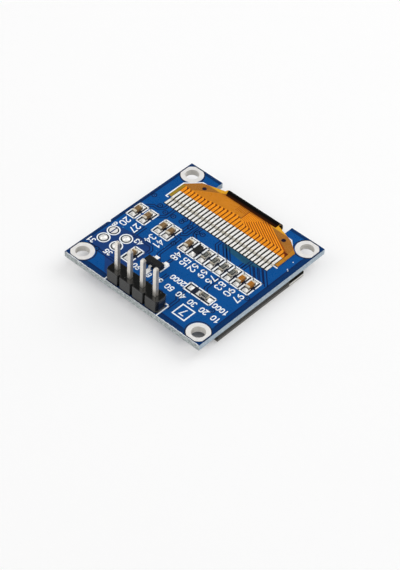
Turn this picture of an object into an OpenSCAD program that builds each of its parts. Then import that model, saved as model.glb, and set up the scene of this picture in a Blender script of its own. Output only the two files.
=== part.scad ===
// Small display module. A nearly square circuit board carries a thin glass display on its lower
// face. Its upper face holds chip parts, a four-pin header and the display's flex, which comes
// up through a notch in the far edge and folds back over the board.
// The display's front lies at z = 0 and the board's middle is over the origin. The header row
// runs along X, and Y points from the header edge to the flex edge. Lengths are in millimetres.

/* [Board] */
// Board length along the header row
board_w = 27; // [26.5:0.5:34]
// Board length from the header edge to the flex edge
board_l = 27.5; // [26.5:0.5:36]
// Board thickness
board_t = 1; // [0.6:0.1:1.6]
// Width of the notch that the flex passes through
notch_w = 14.1; // [12:0.1:16]
// Depth of the notch from the far edge
notch_depth = 2; // [1.5:0.1:3]
// Radius of the notch's two inner corners
notch_corner_r = 0.4; // [0.2:0.1:1]
// Depth of the small V cut in the left edge
nick_depth = 0.35; // [0.2:0.05:0.8]
// Distance of the V cut from the header edge
nick_y = 9.3; // [8.9:0.1:9.6]
// Thickness of copper pads and their tin
pad_t = 0.05; // [0.03:0.01:0.1]

/* [Mounting holes] */
// Bore of each mounting hole
hole_d = 2.2; // [1.6:0.1:2.6]
// Distance from a side edge to the hole centres
hole_inset_x = 1.85; // [1.8:0.05:2]
// Distance from the header and flex edges to the hole centres
hole_inset_y = 1.9; // [1.8:0.05:2.1]
// Diameter of the plated ring round each hole
ring_d = 3.65; // [3.2:0.05:3.9]
// Bare strip between a plated ring and the board's edge
ring_edge_gap = 0.25; // [0.1:0.05:0.5]
// Thickness of the plating on a hole's wall
barrel_t = 0.05; // [0.03:0.01:0.1]

/* [Display glass] */
// Distance from the board's side edges in to the glass
glass_inset = 0.15; // [0.05:0.05:0.5]
// Distance from the board's header edge to the glass
glass_near_gap = 4.2; // [3.9:0.1:5.5]
// Length of the open ledge that the upper sheet leaves free
ledge_l = 3.68; // [3:0.1:4.5]
// Distance from the notch's inner edge back to the glass's far edge
glass_setback = 2.04; // [1.2:0.1:3]
// Radius of the ledge's two far corners
glass_corner_r = 0.6; // [0.3:0.1:1.5]
// Thickness of the polarizer on the display's front
polarizer_t = 0.15; // [0.1:0.05:0.3]
// Margin between the polarizer and the glass's edge
polarizer_margin = 0.4; // [0.2:0.1:1]
// Thickness of the lower glass sheet
substrate_t = 0.55; // [0.4:0.05:1.1]
// Height of the seal bead between the sheets
seal_t = 0.06; // [0.04:0.01:0.1]
// Width of the seal bead
seal_w = 1.2; // [0.6:0.1:1.5]
// Distance from the glass's edges in to the seal bead
seal_margin = 0.15; // [0.05:0.05:0.4]
// Bare strip between the seal bead and the pocket
seal_step = 0.1; // [0.05:0.05:0.3]
// Thickness of the upper glass sheet
cover_t = 0.69; // [0.5:0.01:1.1]
// Depth of the pocket etched into the upper sheet
pocket_depth = 0.3; // [0.2:0.05:0.4]
// Thickness of the moisture-trapping sheet in the pocket
desiccant_t = 0.15; // [0.1:0.05:0.18]
// Margin between the moisture-trapping sheet and the pocket's wall
desiccant_margin = 2; // [1:0.1:4]
// Distance from the glass's side edges in to the lit area
lit_side_gap = 2.48; // [1.6:0.02:4]
// Distance from the upper sheet's ends in to the lit area
lit_end_gap = 2.36; // [1.6:0.02:4]
// Thickness of the light-emitting layers
emitter_t = 0.03; // [0.02:0.01:0.035]
// Thickness of the double-sided tape between display and board
foam_t = 0.2; // [0.1:0.05:0.5]
// Width of each strip of double-sided tape
foam_w = 5; // [3:0.5:9]
// Length of the driver chip on the ledge
driver_l = 7.6; // [6:0.1:10]
// Width of the driver chip
driver_w = 1; // [0.7:0.1:1.2]
// Thickness of the driver chip
driver_t = 0.3; // [0.2:0.05:0.4]

/* [Flex] */
// Thickness of the flex film
flex_t = 0.1; // [0.06:0.01:0.15]
// Thickness of the coverlay on the flex's outer face
coverlay_t = 0.035; // [0.02:0.005:0.06]
// Width of the flex on the board
flex_w = 22.1; // [21.6:0.1:22.4]
// Width of the neck that folds round
neck_w = 10.7; // [9:0.1:12.5]
// Distance from the notch's inner edge to the flex's front edge
flex_reach = 5.82; // [5.5:0.1:6.3]
// Straight side length on the left
side_left = 3.37; // [3:0.1:3.6]
// Straight side length on the right
side_right = 3.87; // [3.5:0.1:4]
// Corner cut on the left, along X
cut_left = 1.95; // [1.6:0.05:2.6]
// Corner cut on the right, along X
cut_right = 2.3; // [1.9:0.05:2.8]
// Distance from the notch's inner edge back to the corner cuts' inner ends
cut_back = 0.33; // [0.2:0.05:0.6]
// Distance from the notch's inner edge to the start of the fold
fold_start = 0.8; // [0.6:0.05:1.2]
// Length of the neck's bond on the ledge
bond_l = 1.4; // [0.8:0.1:1.8]
// Distance from the glass's far edge back to the end of the coverlay below the board
coverlay_gap = 0.3; // [0.1:0.05:0.5]
// Diameter of the two locating holes
index_d = 0.75; // [0.4:0.05:0.9]
// Distance between the two locating holes
index_pitch = 16.06; // [14:0.1:16.5]
// Distance from the flex's front edge to the locating holes
index_y = 4.77; // [4.5:0.05:5]

/* [Contacts] */
// Number of contacts
contact_n = 30; // [20:1:30]
// Contact pitch
contact_pitch = 0.7; // [0.6:0.01:0.72]
// Contact width
contact_w = 0.42; // [0.3:0.02:0.5]
// Bare contact length on the flex, up to the coverlay
contact_l = 1.78; // [1.2:0.1:2.2]
// Length of the board's pads in front of the flex
pad_front = 1.68; // [1.2:0.1:2]
// Length of the solder wedge in front of each flex contact
joint_l = 0.5; // [0.3:0.05:0.8]
// Share of the wedge's length and height at which its slope changes
joint_bend = 0.3; // [0.2:0.05:0.4]

/* [Fold tape] */
// Width of the tape over the fold
wrap_w = 10.9; // [9:0.1:13]
// Shift of the tape along X
wrap_shift = 0.28; // [-0.5:0.02:0.5]
// Thickness of the tape over the fold
wrap_t = 0.06; // [0.04:0.01:0.1]
// Flat length of the tape above the board
wrap_top = 0.68; // [0.3:0.02:1]
// Flat length of the tape below the board
wrap_bottom = 1.9; // [1:0.1:2.3]

/* [Header] */
// Number of pins
pin_n = 4; // [2:1:4]
// Pin pitch
pin_pitch = 2.54; // [2:0.02:2.54]
// Pin thickness across its flats
pin_size = 0.64; // [0.5:0.02:0.66]
// Height of the pin tips above the board
pin_rise = 7.7; // [5:0.1:12]
// Length of the pins below the board
pin_tail = 1.25; // [0.8:0.05:1.4]
// Length of the taper at a pin's ends
pin_taper = 0.35; // [0.2:0.05:0.6]
// Height of the plastic base
base_h = 2.3; // [1.5:0.1:3]
// Width of the plastic base
base_w = 2.3; // [1.9:0.05:2.54]
// Half the width of the groove between the base's segments
groove_half = 0.26; // [0.15:0.01:0.5]
// Depth of the groove between the base's segments
groove_depth = 0.5; // [0.3:0.05:0.7]
// Distance from the header edge to the pin row
header_inset = 1.33; // [1.3:0.01:2.5]
// Shift of the pin row along X
header_shift = -0.1; // [-1:0.1:1]
// Bore of the board's pin holes
pin_hole_d = 1; // [0.96:0.02:1.1]
// Height of a pin's solder cone
cone_h = 0.8; // [0.4:0.05:0.9]
// Radius of a pin's solder cone at the board
cone_r = 0.85; // [0.7:0.05:1]
// Radius of the cone's lower end
cone_tip_r = 0.48; // [0.46:0.01:0.6]

/* [Chip parts] */
// Length of a chip capacitor or resistor
chip_l = 1.6; // [1.4:0.05:1.8]
// Width of a chip capacitor or resistor
chip_w = 0.8; // [0.6:0.05:0.9]
// Height of a capacitor
cap_h = 0.65; // [0.4:0.05:0.9]
// Height of a resistor
res_h = 0.45; // [0.3:0.05:0.6]
// Length of a chip's metal end
end_l = 0.3; // [0.2:0.05:0.4]
// How far a metal end stands out from the chip's body
end_step = 0.02; // [0.01:0.01:0.04]
// Length of a solder fillet at a chip's end
fillet_l = 0.5; // [0.3:0.05:0.6]
// How far a pad reaches in under a chip's middle, past its metal end
land_in = 0.15; // [0.05:0.05:0.25]
// How far a pad stands out past a chip's sides
land_over = 0.05; // [0.02:0.01:0.08]
// Distance from the board pads back to the row of chip parts
row_back = 4.15; // [3.5:0.05:4.6]
// Distance from the right edge to the row's last part
row_inset = 2.66; // [2:0.05:3]
// Pitch of the row's eight parts
row_pitch = 1.755; // [1.6:0.01:1.8]
// Distance from the left edge to the first capacitor
left_inset = 1.51; // [1.2:0.05:1.7]
// Distance between the first two capacitors
left_pitch = 2.08; // [1.7:0.02:2.2]
// Distance from the left edge to the capacitor pair
pair_inset = 6.75; // [6:0.05:7]
// Pitch of the capacitor pair
pair_pitch = 1.63; // [1.3:0.01:1.75]
// Distance from the left edge to the capacitor beside the header
input_cap_x = 7.57; // [7:0.05:7.8]
// Distance from the header edge to the capacitor beside the header
input_cap_y = 6.5; // [6:0.05:6.8]
// Distance from the header edge to the address resistor
select_y = 7.62; // [7:0.05:8]
// Distance from the right edge to the address resistor
select_inset = 5.94; // [5:0.05:6.5]
// Distance from the address resistor's middle to the free pad
select_pad_gap = 2.66; // [2.2:0.05:3]
// Length of the diode's body
diode_l = 1.7; // [1.5:0.05:1.8]
// Width of the diode's body
diode_w = 1.2; // [1:0.05:1.3]
// Height of the diode's body
diode_h = 0.75; // [0.5:0.05:0.9]
// Height that the solder reaches at the diode's ends
diode_lead_h = 0.45; // [0.3:0.05:0.6]
// How far a moulded body's sides slope in from its parting line
draft = 0.12; // [0.05:0.01:0.2]

/* [Regulator] */
// Length of the regulator's body
reg_l = 2.9; // [2.6:0.05:3.1]
// Width of the regulator's body
reg_w = 1.3; // [1.1:0.05:1.6]
// Height of the regulator's body above its lead feet
reg_h = 1; // [0.8:0.05:1.2]
// Distance between the two leads on one side
lead_pitch = 1.9; // [1.6:0.05:2]
// Width of a lead
lead_w = 0.42; // [0.3:0.02:0.5]
// Thickness of a lead
lead_t = 0.13; // [0.1:0.01:0.2]
// Reach of a lead's foot from the body's middle line
lead_reach = 1.25; // [1.1:0.05:1.4]
// Height at which the leads leave the body
lead_z = 0.45; // [0.3:0.05:0.55]
// Gap below the regulator's body
reg_clear = 0.06; // [0.02:0.01:0.1]
// Length of a lead's pad
reg_land_l = 1; // [0.8:0.05:1.2]
// Width of a lead's pad
reg_land_w = 0.75; // [0.6:0.05:0.9]
// Distance from the body's middle line to the middle of a lead's pad
reg_land_mid = 1.4; // [1.2:0.05:1.5]
// Distance from the left edge to the regulator's middle
reg_x = 11.5; // [11:0.05:12.2]
// Distance from the header edge to the regulator's middle
reg_y = 7.05; // [6:0.05:8]

/* [Solder jumpers] */
// Diameter of a jumper's round pad
jumper_d = 1.3; // [1:0.05:1.5]
// Width of the slit between a jumper's two halves
jumper_slit = 0.22; // [0.15:0.01:0.3]
// Height of the solder blob on a bridged jumper
blob_h = 0.28; // [0.15:0.01:0.4]
// Bare rim of the pad round a solder blob
blob_margin = 0.1; // [0.05:0.01:0.15]
// Distance from the left edge to the first jumper column
jumper_x = 1.98; // [1.7:0.02:2.1]
// Distance between the jumper columns
jumper_pitch_x = 2.62; // [2.2:0.02:2.8]
// Distance from the header edge to the first jumper row
jumper_y = 6.13; // [5:0.02:6.5]
// Distance between the jumper rows
jumper_pitch_y = 2.13; // [2:0.02:2.4]

/* [Hidden] */
$fn = 48;

// How far a cutting body runs past the face that it cuts
cut_past = 1;
// Length over which two joined bodies share the same space
join = 0.1;

left_x = -board_w / 2;
right_x = board_w / 2;
near_y = -board_l / 2;
far_y = board_l / 2;
notch_y = far_y - notch_depth;
hole_x = right_x - hole_inset_x;
hole_y = far_y - hole_inset_y;
glass_w = board_w - 2 * glass_inset;

// Heights of the stack, from the display's front upwards
ledge_z = polarizer_t + substrate_t;
cover_z = ledge_z + seal_t;
foam_z = cover_z + cover_t;
board_z = foam_z + foam_t;
top_z = board_z + board_t;
flex_z = top_z + pad_t;

// Glass edges
glass_far_y = notch_y - glass_setback;
glass_near_y = near_y + glass_near_gap;
cover_far_y = glass_far_y - ledge_l;

// Flex outline and fold
flex_front_y = notch_y - flex_reach;
coverlay_y = flex_front_y + contact_l;
cut_y = notch_y - cut_back;
fold_y = notch_y + fold_start;
fold_r = (flex_z - ledge_z - flex_t) / 2;
fold_z = flex_z - fold_r;
contact_top = flex_z + flex_t + coverlay_t;
// The coverlay stops short of the glass, so that the bare neck can lie on the ledge
coverlay_end_y = glass_far_y + coverlay_gap;

contact_x = [for (i = [0 : contact_n - 1]) (i - (contact_n - 1) / 2) * contact_pitch];

// Header
header_y = near_y + header_inset;
pin_x = [for (i = [0 : pin_n - 1]) header_shift + (i - (pin_n - 1) / 2) * pin_pitch];
base_z = top_z;

// Chip parts: places as [x, y, turn]
row_y = flex_front_y - pad_front - row_back;
chip_z = top_z + pad_t;
row_x = [for (i = [0 : 7]) right_x - row_inset - (7 - i) * row_pitch];
cap_at = [
    [left_x + left_inset, row_y, 90],
    [left_x + left_inset + left_pitch, row_y, 90],
    [left_x + pair_inset, row_y, 90],
    [left_x + pair_inset + pair_pitch, row_y, 90],
    [row_x[0], row_y, 90],
    [row_x[6], row_y, 90],
    [row_x[7], row_y, 90],
    [left_x + input_cap_x, near_y + input_cap_y, 90]];
res_at = [
    [row_x[2], row_y, 90],
    [row_x[3], row_y, 90],
    [row_x[4], row_y, 90],
    [row_x[5], row_y, 90],
    [right_x - select_inset, near_y + select_y, 0]];
diode_at = [row_x[1], row_y, 90];
select_pad_x = res_at[4][0] - select_pad_gap;
land_w = chip_w + 2 * land_over;
// A solder fillet's height at the chip and at its bend, and the bend's place along it
wet_high = 0.7;
wet_low = 0.22;
wet_bend = 0.45;

// Regulator
reg_mid = [left_x + reg_x, near_y + reg_y];
// Share of a lead's reach beyond the body that lies before its bend, and the slant of the bend
bend_share = 0.35;
bend_slant = 0.05;

jumper_at = [for (row = [0, 1], col = [0, 1])
    [left_x + jumper_x + col * jumper_pitch_x, near_y + jumper_y + row * jumper_pitch_y]];
// The third jumper is open, and solder bridges the others
jumper_open = 2;

// ---- helpers ----

// Rectangle between two corners
module area(x0, y0, x1, y1) {
    translate([x0, y0]) square([x1 - x0, y1 - y0]);
}

// Flat plate between two corners, from height z upwards
module plate(x0, y0, x1, y1, z, t) {
    translate([x0, y0, z]) cube([x1 - x0, y1 - y0, t]);
}

// Puts a chip part at its place
module at_chip(place, z) {
    translate([place[0], place[1], z]) rotate(place[2]) children();
}

// Extrudes a side view, drawn as [y, z], from x0 to x1
module side_view(x0, x1) {
    translate([x0, 0, 0]) rotate([90, 0, 90]) linear_extrude(x1 - x0) children();
}

// ---- board ----

module board_outline() {
    difference() {
        area(left_x, near_y, right_x, far_y);
        translate([0, notch_y]) difference() {
            area(-notch_w / 2, 0, notch_w / 2, notch_depth + cut_past);
            for (s = [-1, 1]) translate([s * notch_w / 2, 0]) difference() {
                area(-notch_corner_r, -join, notch_corner_r, notch_corner_r);
                translate([-s * notch_corner_r, notch_corner_r]) circle(notch_corner_r);
            }
        }
        translate([left_x, near_y + nick_y]) polygon([
            [-nick_depth, -2 * nick_depth], [nick_depth, 0], [-nick_depth, 2 * nick_depth]]);
    }
}

module circuit_board() {
    color([0.07, 0.3, 0.6]) difference() {
        translate([0, 0, board_z]) linear_extrude(board_t) board_outline();
        for (x = [-hole_x, hole_x], y = [-hole_y, hole_y])
            translate([x, y, board_z - cut_past])
                cylinder(d = hole_d + 2 * barrel_t, h = board_t + 2 * cut_past);
        for (x = pin_x) translate([x, header_y, board_z - cut_past])
            cylinder(d = pin_hole_d, h = board_t + 2 * cut_past);
    }
}

// Ring outline: round, with a flat beside each near edge of the board
module ring_outline(x, y) {
    intersection() {
        translate([x, y]) circle(d = ring_d);
        area(left_x + ring_edge_gap, near_y + ring_edge_gap,
            right_x - ring_edge_gap, far_y - ring_edge_gap);
    }
}

// Plated hole: a ring on each face and a tube through the board
module mount_ring(x, y) {
    color([0.82, 0.83, 0.84]) difference() {
        union() {
            translate([0, 0, top_z]) linear_extrude(pad_t) ring_outline(x, y);
            translate([0, 0, board_z - pad_t]) linear_extrude(pad_t) ring_outline(x, y);
            translate([x, y, board_z - pad_t / 2])
                cylinder(d = hole_d + 2 * barrel_t, h = board_t + pad_t);
        }
        translate([x, y, board_z - cut_past])
            cylinder(d = hole_d, h = board_t + 2 * cut_past);
    }
}

// ---- display ----

// Glass outline with the ledge's far corners rounded
module ledge_outline(margin) {
    x = glass_w / 2 - margin;
    y = glass_far_y - margin;
    r = glass_corner_r;
    area(-x, glass_near_y + margin, x, y - r);
    area(r - x, y - r - join, x - r, y);
    for (s = [-1, 1]) translate([s * (x - r), y - r]) circle(r);
}

module polarizer() {
    color([0.1, 0.1, 0.11]) plate(-glass_w / 2 + polarizer_margin, glass_near_y + polarizer_margin,
        glass_w / 2 - polarizer_margin, cover_far_y + polarizer_margin, 0, polarizer_t);
}

module substrate_glass() {
    color([0.3, 0.33, 0.34]) translate([0, 0, polarizer_t])
        linear_extrude(substrate_t) ledge_outline(0);
}

module emitter_film() {
    x = glass_w / 2 - lit_side_gap;
    color([0.12, 0.12, 0.16]) plate(-x, glass_near_y + lit_end_gap,
        x, cover_far_y - lit_end_gap, ledge_z, emitter_t);
}

module seal_bead() {
    x = glass_w / 2 - seal_margin;
    y0 = glass_near_y + seal_margin;
    y1 = cover_far_y - seal_margin;
    color([0.55, 0.52, 0.42]) translate([0, 0, ledge_z]) linear_extrude(seal_t) difference() {
        area(-x, y0, x, y1);
        area(seal_w - x, y0 + seal_w, x - seal_w, y1 - seal_w);
    }
}

// Pocket in the upper sheet, set in from the seal bead by a small step
pocket_x = glass_w / 2 - seal_margin - seal_w - seal_step;
pocket_y0 = glass_near_y + seal_margin + seal_w + seal_step;
pocket_y1 = cover_far_y - seal_margin - seal_w - seal_step;

module cover_glass() {
    color([0.16, 0.15, 0.14]) difference() {
        plate(-glass_w / 2, glass_near_y, glass_w / 2, cover_far_y, cover_z, cover_t);
        plate(-pocket_x, pocket_y0, pocket_x, pocket_y1,
            cover_z - cut_past, pocket_depth + cut_past);
    }
}

module desiccant_sheet() {
    color([0.88, 0.87, 0.82]) plate(-pocket_x + desiccant_margin, pocket_y0 + desiccant_margin,
        pocket_x - desiccant_margin, pocket_y1 - desiccant_margin,
        cover_z + pocket_depth - desiccant_t, desiccant_t);
}

driver_y = (cover_far_y + glass_far_y - bond_l) / 2;

module driver_chip() {
    color([0.25, 0.25, 0.28]) plate(-driver_l / 2, driver_y - driver_w / 2,
        driver_l / 2, driver_y + driver_w / 2, ledge_z, driver_t);
}

// Strip of double-sided tape along one side of the display
module foam_tape(side) {
    x1 = glass_w / 2 - polarizer_margin;
    color([0.92, 0.92, 0.9]) plate(side > 0 ? x1 - foam_w : -x1, glass_near_y + polarizer_margin,
        side > 0 ? x1 : foam_w - x1, cover_far_y - polarizer_margin, foam_z, foam_t);
}

// ---- flex ----

module flex_outline() {
    x = flex_w / 2;
    polygon([
        [-x, flex_front_y], [x, flex_front_y],
        [x, flex_front_y + side_right], [x - cut_right, cut_y],
        [neck_w / 2, fold_y], [-neck_w / 2, fold_y],
        [cut_left - x, cut_y], [-x, flex_front_y + side_left]]);
}

module index_holes(z, t) {
    for (s = [-1, 1])
        translate([s * index_pitch / 2, flex_front_y + index_y, z - cut_past])
            cylinder(d = index_d, h = t + 2 * cut_past);
}

// Side view of a layer wrapped round the fold. Its inner face lies "lift" outside the film's
// inner face. It starts at y0 above the board and ends at y1 below it.
module fold_profile(lift, t, y0, y1) {
    r = fold_r + lift;
    translate([fold_y, fold_z]) difference() {
        circle(r + t);
        circle(r);
        area(-r - t - cut_past, -r - t - cut_past, 0, r + t + cut_past);
    }
    area(y0, fold_z + r, fold_y, fold_z + r + t);
    area(y1, fold_z - r - t, fold_y, fold_z - r);
}

module flex_film() {
    color([0.75, 0.45, 0.12]) difference() {
        union() {
            translate([0, 0, flex_z]) linear_extrude(flex_t) flex_outline();
            side_view(-neck_w / 2, neck_w / 2)
                fold_profile(0, flex_t, fold_y - join, glass_far_y - bond_l);
        }
        index_holes(flex_z, flex_t);
    }
}

module flex_coverlay() {
    color([0.91, 0.52, 0.12]) difference() {
        union() {
            translate([0, 0, flex_z + flex_t]) linear_extrude(coverlay_t) intersection() {
                flex_outline();
                area(-flex_w, coverlay_y, flex_w, fold_y);
            }
            side_view(-neck_w / 2, neck_w / 2)
                fold_profile(flex_t, coverlay_t, fold_y - join, coverlay_end_y);
        }
        index_holes(flex_z + flex_t, coverlay_t);
    }
}

module flex_contacts() {
    color([0.87, 0.87, 0.86]) for (x = contact_x)
        plate(x - contact_w / 2, flex_front_y, x + contact_w / 2, coverlay_y,
            flex_z + flex_t, coverlay_t);
}

// Solder wedge in front of each flex contact, from its pad up to the contact's top
module contact_solder() {
    color([0.86, 0.86, 0.85]) for (x = contact_x)
        side_view(x - contact_w / 2, x + contact_w / 2) polygon([
            [flex_front_y - joint_l, flex_z], [flex_front_y, flex_z],
            [flex_front_y, contact_top],
            [flex_front_y - joint_l * joint_bend, flex_z + (contact_top - flex_z) * joint_bend]]);
}

module board_contacts() {
    color([0.85, 0.85, 0.85]) for (x = contact_x)
        plate(x - contact_w / 2, flex_front_y - pad_front, x + contact_w / 2, coverlay_y,
            top_z, pad_t);
}

module fold_tape() {
    color([0.09, 0.08, 0.07])
        side_view(wrap_shift - wrap_w / 2, wrap_shift + wrap_w / 2)
            fold_profile(flex_t + coverlay_t, wrap_t, fold_y - wrap_top, fold_y - wrap_bottom);
}

// ---- header ----

// Outline of the base: a strip with a V groove in both sides between the pins. Half a groove
// at each end leaves the end corners cut.
module base_outline() {
    b = base_w / 2;
    x0 = pin_x[0] - pin_pitch / 2;
    difference() {
        area(x0, -b, x0 + pin_n * pin_pitch, b);
        for (i = [0 : pin_n], s = [-1, 1]) translate([x0 + i * pin_pitch, 0]) polygon([
            [-groove_half, s * (b + cut_past)], [-groove_half, s * b], [0, s * (b - groove_depth)],
            [groove_half, s * b], [groove_half, s * (b + cut_past)]]);
    }
}

module header_base() {
    color([0.16, 0.16, 0.17]) difference() {
        translate([0, header_y, base_z]) linear_extrude(base_h) base_outline();
        for (x = pin_x)
            plate(x - pin_size / 2, header_y - pin_size / 2, x + pin_size / 2,
                header_y + pin_size / 2, base_z - cut_past, base_h + 2 * cut_past);
    }
}

// Pin seen from one side, with both ends tapered
module pin_profile() {
    a = pin_size / 2;
    tip = a / 2;
    z0 = board_z - pin_tail;
    z1 = top_z + pin_rise;
    polygon([
        [-tip, z0], [tip, z0], [a, z0 + pin_taper], [a, z1 - pin_taper],
        [tip, z1], [-tip, z1], [-a, z1 - pin_taper], [-a, z0 + pin_taper]]);
}

module header_pin(x) {
    color([0.84, 0.82, 0.76]) translate([x, header_y, 0]) intersection() {
        side_view(-pin_size / 2, pin_size / 2) pin_profile();
        rotate(90) side_view(-pin_size / 2, pin_size / 2) pin_profile();
    }
}

// Solder that fills the pin's hole and rises as a cone below the board
module pin_solder(x) {
    color([0.8, 0.81, 0.83]) difference() {
        translate([x, header_y, board_z]) union() {
            cylinder(d = pin_hole_d, h = board_t);
            translate([0, 0, -cone_h]) cylinder(r1 = cone_tip_r, r2 = cone_r, h = cone_h);
        }
        plate(x - pin_size / 2, header_y - pin_size / 2, x + pin_size / 2,
            header_y + pin_size / 2, board_z - cone_h - cut_past, board_t + cone_h + 2 * cut_past);
    }
}

// ---- chip parts ----

// Chip along X: a ceramic body between two metal ends that stand out a little
module chip(l, w, h) {
    union() {
        translate([-l / 2 + end_l / 2, end_step - w / 2, 0])
            cube([l - end_l, w - 2 * end_step, h - end_step]);
        for (s = [-1, 1]) translate([s * (l - end_l) / 2, 0, h / 2])
            cube([end_l, w, h], center = true);
    }
}

// Pad and solder fillet at both ends of a chip of length l and height h
module chip_land(l, h) {
    x = l / 2;
    for (s = [0, 180]) rotate(s) translate([0, land_w / 2, 0]) rotate([90, 0, 0])
        linear_extrude(land_w) polygon([
            [x - end_l - land_in, 0], [x + fillet_l, 0], [x + fillet_l, pad_t],
            [x + fillet_l * wet_bend, pad_t + h * wet_low], [x, pad_t + h * wet_high], [x, pad_t],
            [x - end_l - land_in, pad_t]]);
}

module capacitor(i) {
    color([0.66, 0.52, 0.36]) at_chip(cap_at[i], chip_z) chip(chip_l, chip_w, cap_h);
}

module resistor(i) {
    color([0.2, 0.2, 0.21]) at_chip(res_at[i], chip_z) chip(chip_l, chip_w, res_h);
}

// Moulded body whose long sides slope both ways from its parting line
module diode() {
    b = diode_w / 2;
    color([0.08, 0.08, 0.09]) at_chip(diode_at, chip_z) side_view(-diode_l / 2, diode_l / 2)
        polygon([
            [draft - b, 0], [b - draft, 0], [b, diode_h / 2],
            [b - draft, diode_h], [draft - b, diode_h], [-b, diode_h / 2]]);
}

module chip_pads() {
    color([0.83, 0.83, 0.84]) {
        for (c = cap_at) at_chip(c, top_z) chip_land(chip_l, cap_h);
        for (r = res_at) at_chip(r, top_z) chip_land(chip_l, res_h);
        at_chip(diode_at, top_z) chip_land(diode_l, diode_lead_h);
        plate(select_pad_x - chip_w / 2, res_at[4][1] - land_w / 2,
            select_pad_x + chip_w / 2, res_at[4][1] + land_w / 2, top_z, pad_t);
        for (p = [[-lead_pitch / 2, 1], [lead_pitch / 2, 1], [0, -1]])
            translate([reg_mid[0] + p[0] - reg_land_w / 2,
                reg_mid[1] + p[1] * reg_land_mid - reg_land_l / 2, top_z])
                cube([reg_land_w, reg_land_l, pad_t]);
    }
}

module regulator_body() {
    b = reg_w / 2;
    color([0.07, 0.07, 0.08]) translate([reg_mid[0], reg_mid[1], chip_z + reg_clear])
        side_view(-reg_l / 2, reg_l / 2) polygon([
            [draft - b, 0], [b - draft, 0], [b, lead_z - reg_clear],
            [b, lead_z + lead_t - reg_clear], [b - draft, reg_h], [draft - b, reg_h],
            [-b, lead_z + lead_t - reg_clear], [-b, lead_z - reg_clear]]);
}

// Lead bent down from the body's side to a flat foot, drawn as [y, z]
module lead_profile() {
    b = reg_w / 2;
    t = lead_t;
    bend = b + (lead_reach - b) * bend_share;
    foot = bend + bend_slant;
    polygon([
        [b, lead_z], [bend, lead_z], [foot, 0], [lead_reach, 0],
        [lead_reach, t], [foot + t, t], [bend + t, lead_z + t], [b, lead_z + t]]);
}

module regulator_leads() {
    color([0.8, 0.8, 0.8]) translate([reg_mid[0], reg_mid[1], chip_z]) {
        for (s = [-1, 1]) translate([s * lead_pitch / 2, 0, 0])
            side_view(-lead_w / 2, lead_w / 2) lead_profile();
        rotate(180) side_view(-lead_w / 2, lead_w / 2) lead_profile();
    }
}

// Round pad. The open jumper's is in two halves, and a solder blob covers the others.
module jumper(i) {
    r = jumper_d / 2;
    blob_r = r - blob_margin;
    ball_r = (blob_r * blob_r + blob_h * blob_h) / (2 * blob_h);
    color([0.84, 0.84, 0.84]) translate([jumper_at[i][0], jumper_at[i][1], top_z]) {
        difference() {
            cylinder(r = r, h = pad_t);
            if (i == jumper_open)
                plate(-jumper_slit / 2, -r - cut_past, jumper_slit / 2, r + cut_past,
                    -cut_past, pad_t + 2 * cut_past);
        }
        if (i != jumper_open) intersection() {
            translate([0, 0, pad_t + blob_h - ball_r]) sphere(ball_r);
            cylinder(r = r, h = pad_t + 2 * blob_h);
        }
    }
}

// ---- nodes ----

circuit_board();
mount_ring(-hole_x, -hole_y);  // mount_ring_1
mount_ring(hole_x, -hole_y);  // mount_ring_2
mount_ring(-hole_x, hole_y);  // mount_ring_3
mount_ring(hole_x, hole_y);  // mount_ring_4
polarizer();
substrate_glass();
emitter_film();
seal_bead();
desiccant_sheet();
cover_glass();
driver_chip();
foam_tape(-1);  // foam_tape_1
foam_tape(1);  // foam_tape_2
board_contacts();
flex_film();
flex_contacts();
contact_solder();
flex_coverlay();
fold_tape();
header_base();
for (i = [1 : pin_n]) {
    header_pin(pin_x[i - 1]);
    pin_solder(pin_x[i - 1]);
}
chip_pads();
for (i = [1 : len(cap_at)])
    capacitor(i - 1);
for (i = [1 : len(res_at)])
    resistor(i - 1);
diode();
regulator_body();
regulator_leads();
for (i = [1 : len(jumper_at)])
    jumper(i - 1);
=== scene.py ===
"""Dresses a small display module and sets it in a plain studio.

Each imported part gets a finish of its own. Print, traces, solder, chip bodies and the copper
pattern of the flex are modelled on top of them. Sizes are in millimetres until a mesh is made.
"""

import logging
import math
from collections.abc import Sequence
from dataclasses import dataclass, field, replace
from enum import Enum
from random import Random

import bmesh
import bpy
from mathutils import Euler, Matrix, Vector


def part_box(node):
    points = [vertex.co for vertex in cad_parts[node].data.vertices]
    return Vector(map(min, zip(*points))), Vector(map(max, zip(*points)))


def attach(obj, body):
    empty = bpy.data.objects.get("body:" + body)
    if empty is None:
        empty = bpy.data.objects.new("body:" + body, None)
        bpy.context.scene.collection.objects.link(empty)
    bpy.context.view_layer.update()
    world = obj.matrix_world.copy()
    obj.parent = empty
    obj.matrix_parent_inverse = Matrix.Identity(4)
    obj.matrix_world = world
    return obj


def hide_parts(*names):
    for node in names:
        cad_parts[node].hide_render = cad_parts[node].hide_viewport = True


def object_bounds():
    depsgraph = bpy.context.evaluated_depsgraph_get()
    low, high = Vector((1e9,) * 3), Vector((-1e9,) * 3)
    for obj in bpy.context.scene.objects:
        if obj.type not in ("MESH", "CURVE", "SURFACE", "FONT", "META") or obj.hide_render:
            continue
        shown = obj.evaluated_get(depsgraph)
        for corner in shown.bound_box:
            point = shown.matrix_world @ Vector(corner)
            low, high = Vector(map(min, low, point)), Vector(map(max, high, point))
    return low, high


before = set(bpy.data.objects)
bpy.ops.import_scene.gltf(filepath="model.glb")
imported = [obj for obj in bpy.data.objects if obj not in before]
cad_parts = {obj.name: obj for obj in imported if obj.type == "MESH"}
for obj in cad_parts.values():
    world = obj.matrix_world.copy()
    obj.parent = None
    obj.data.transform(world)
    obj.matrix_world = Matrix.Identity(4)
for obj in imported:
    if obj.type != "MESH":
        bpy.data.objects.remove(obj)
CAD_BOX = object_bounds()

LOG = logging.getLogger("module")
MM = 0.001
BODY = "root"
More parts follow.
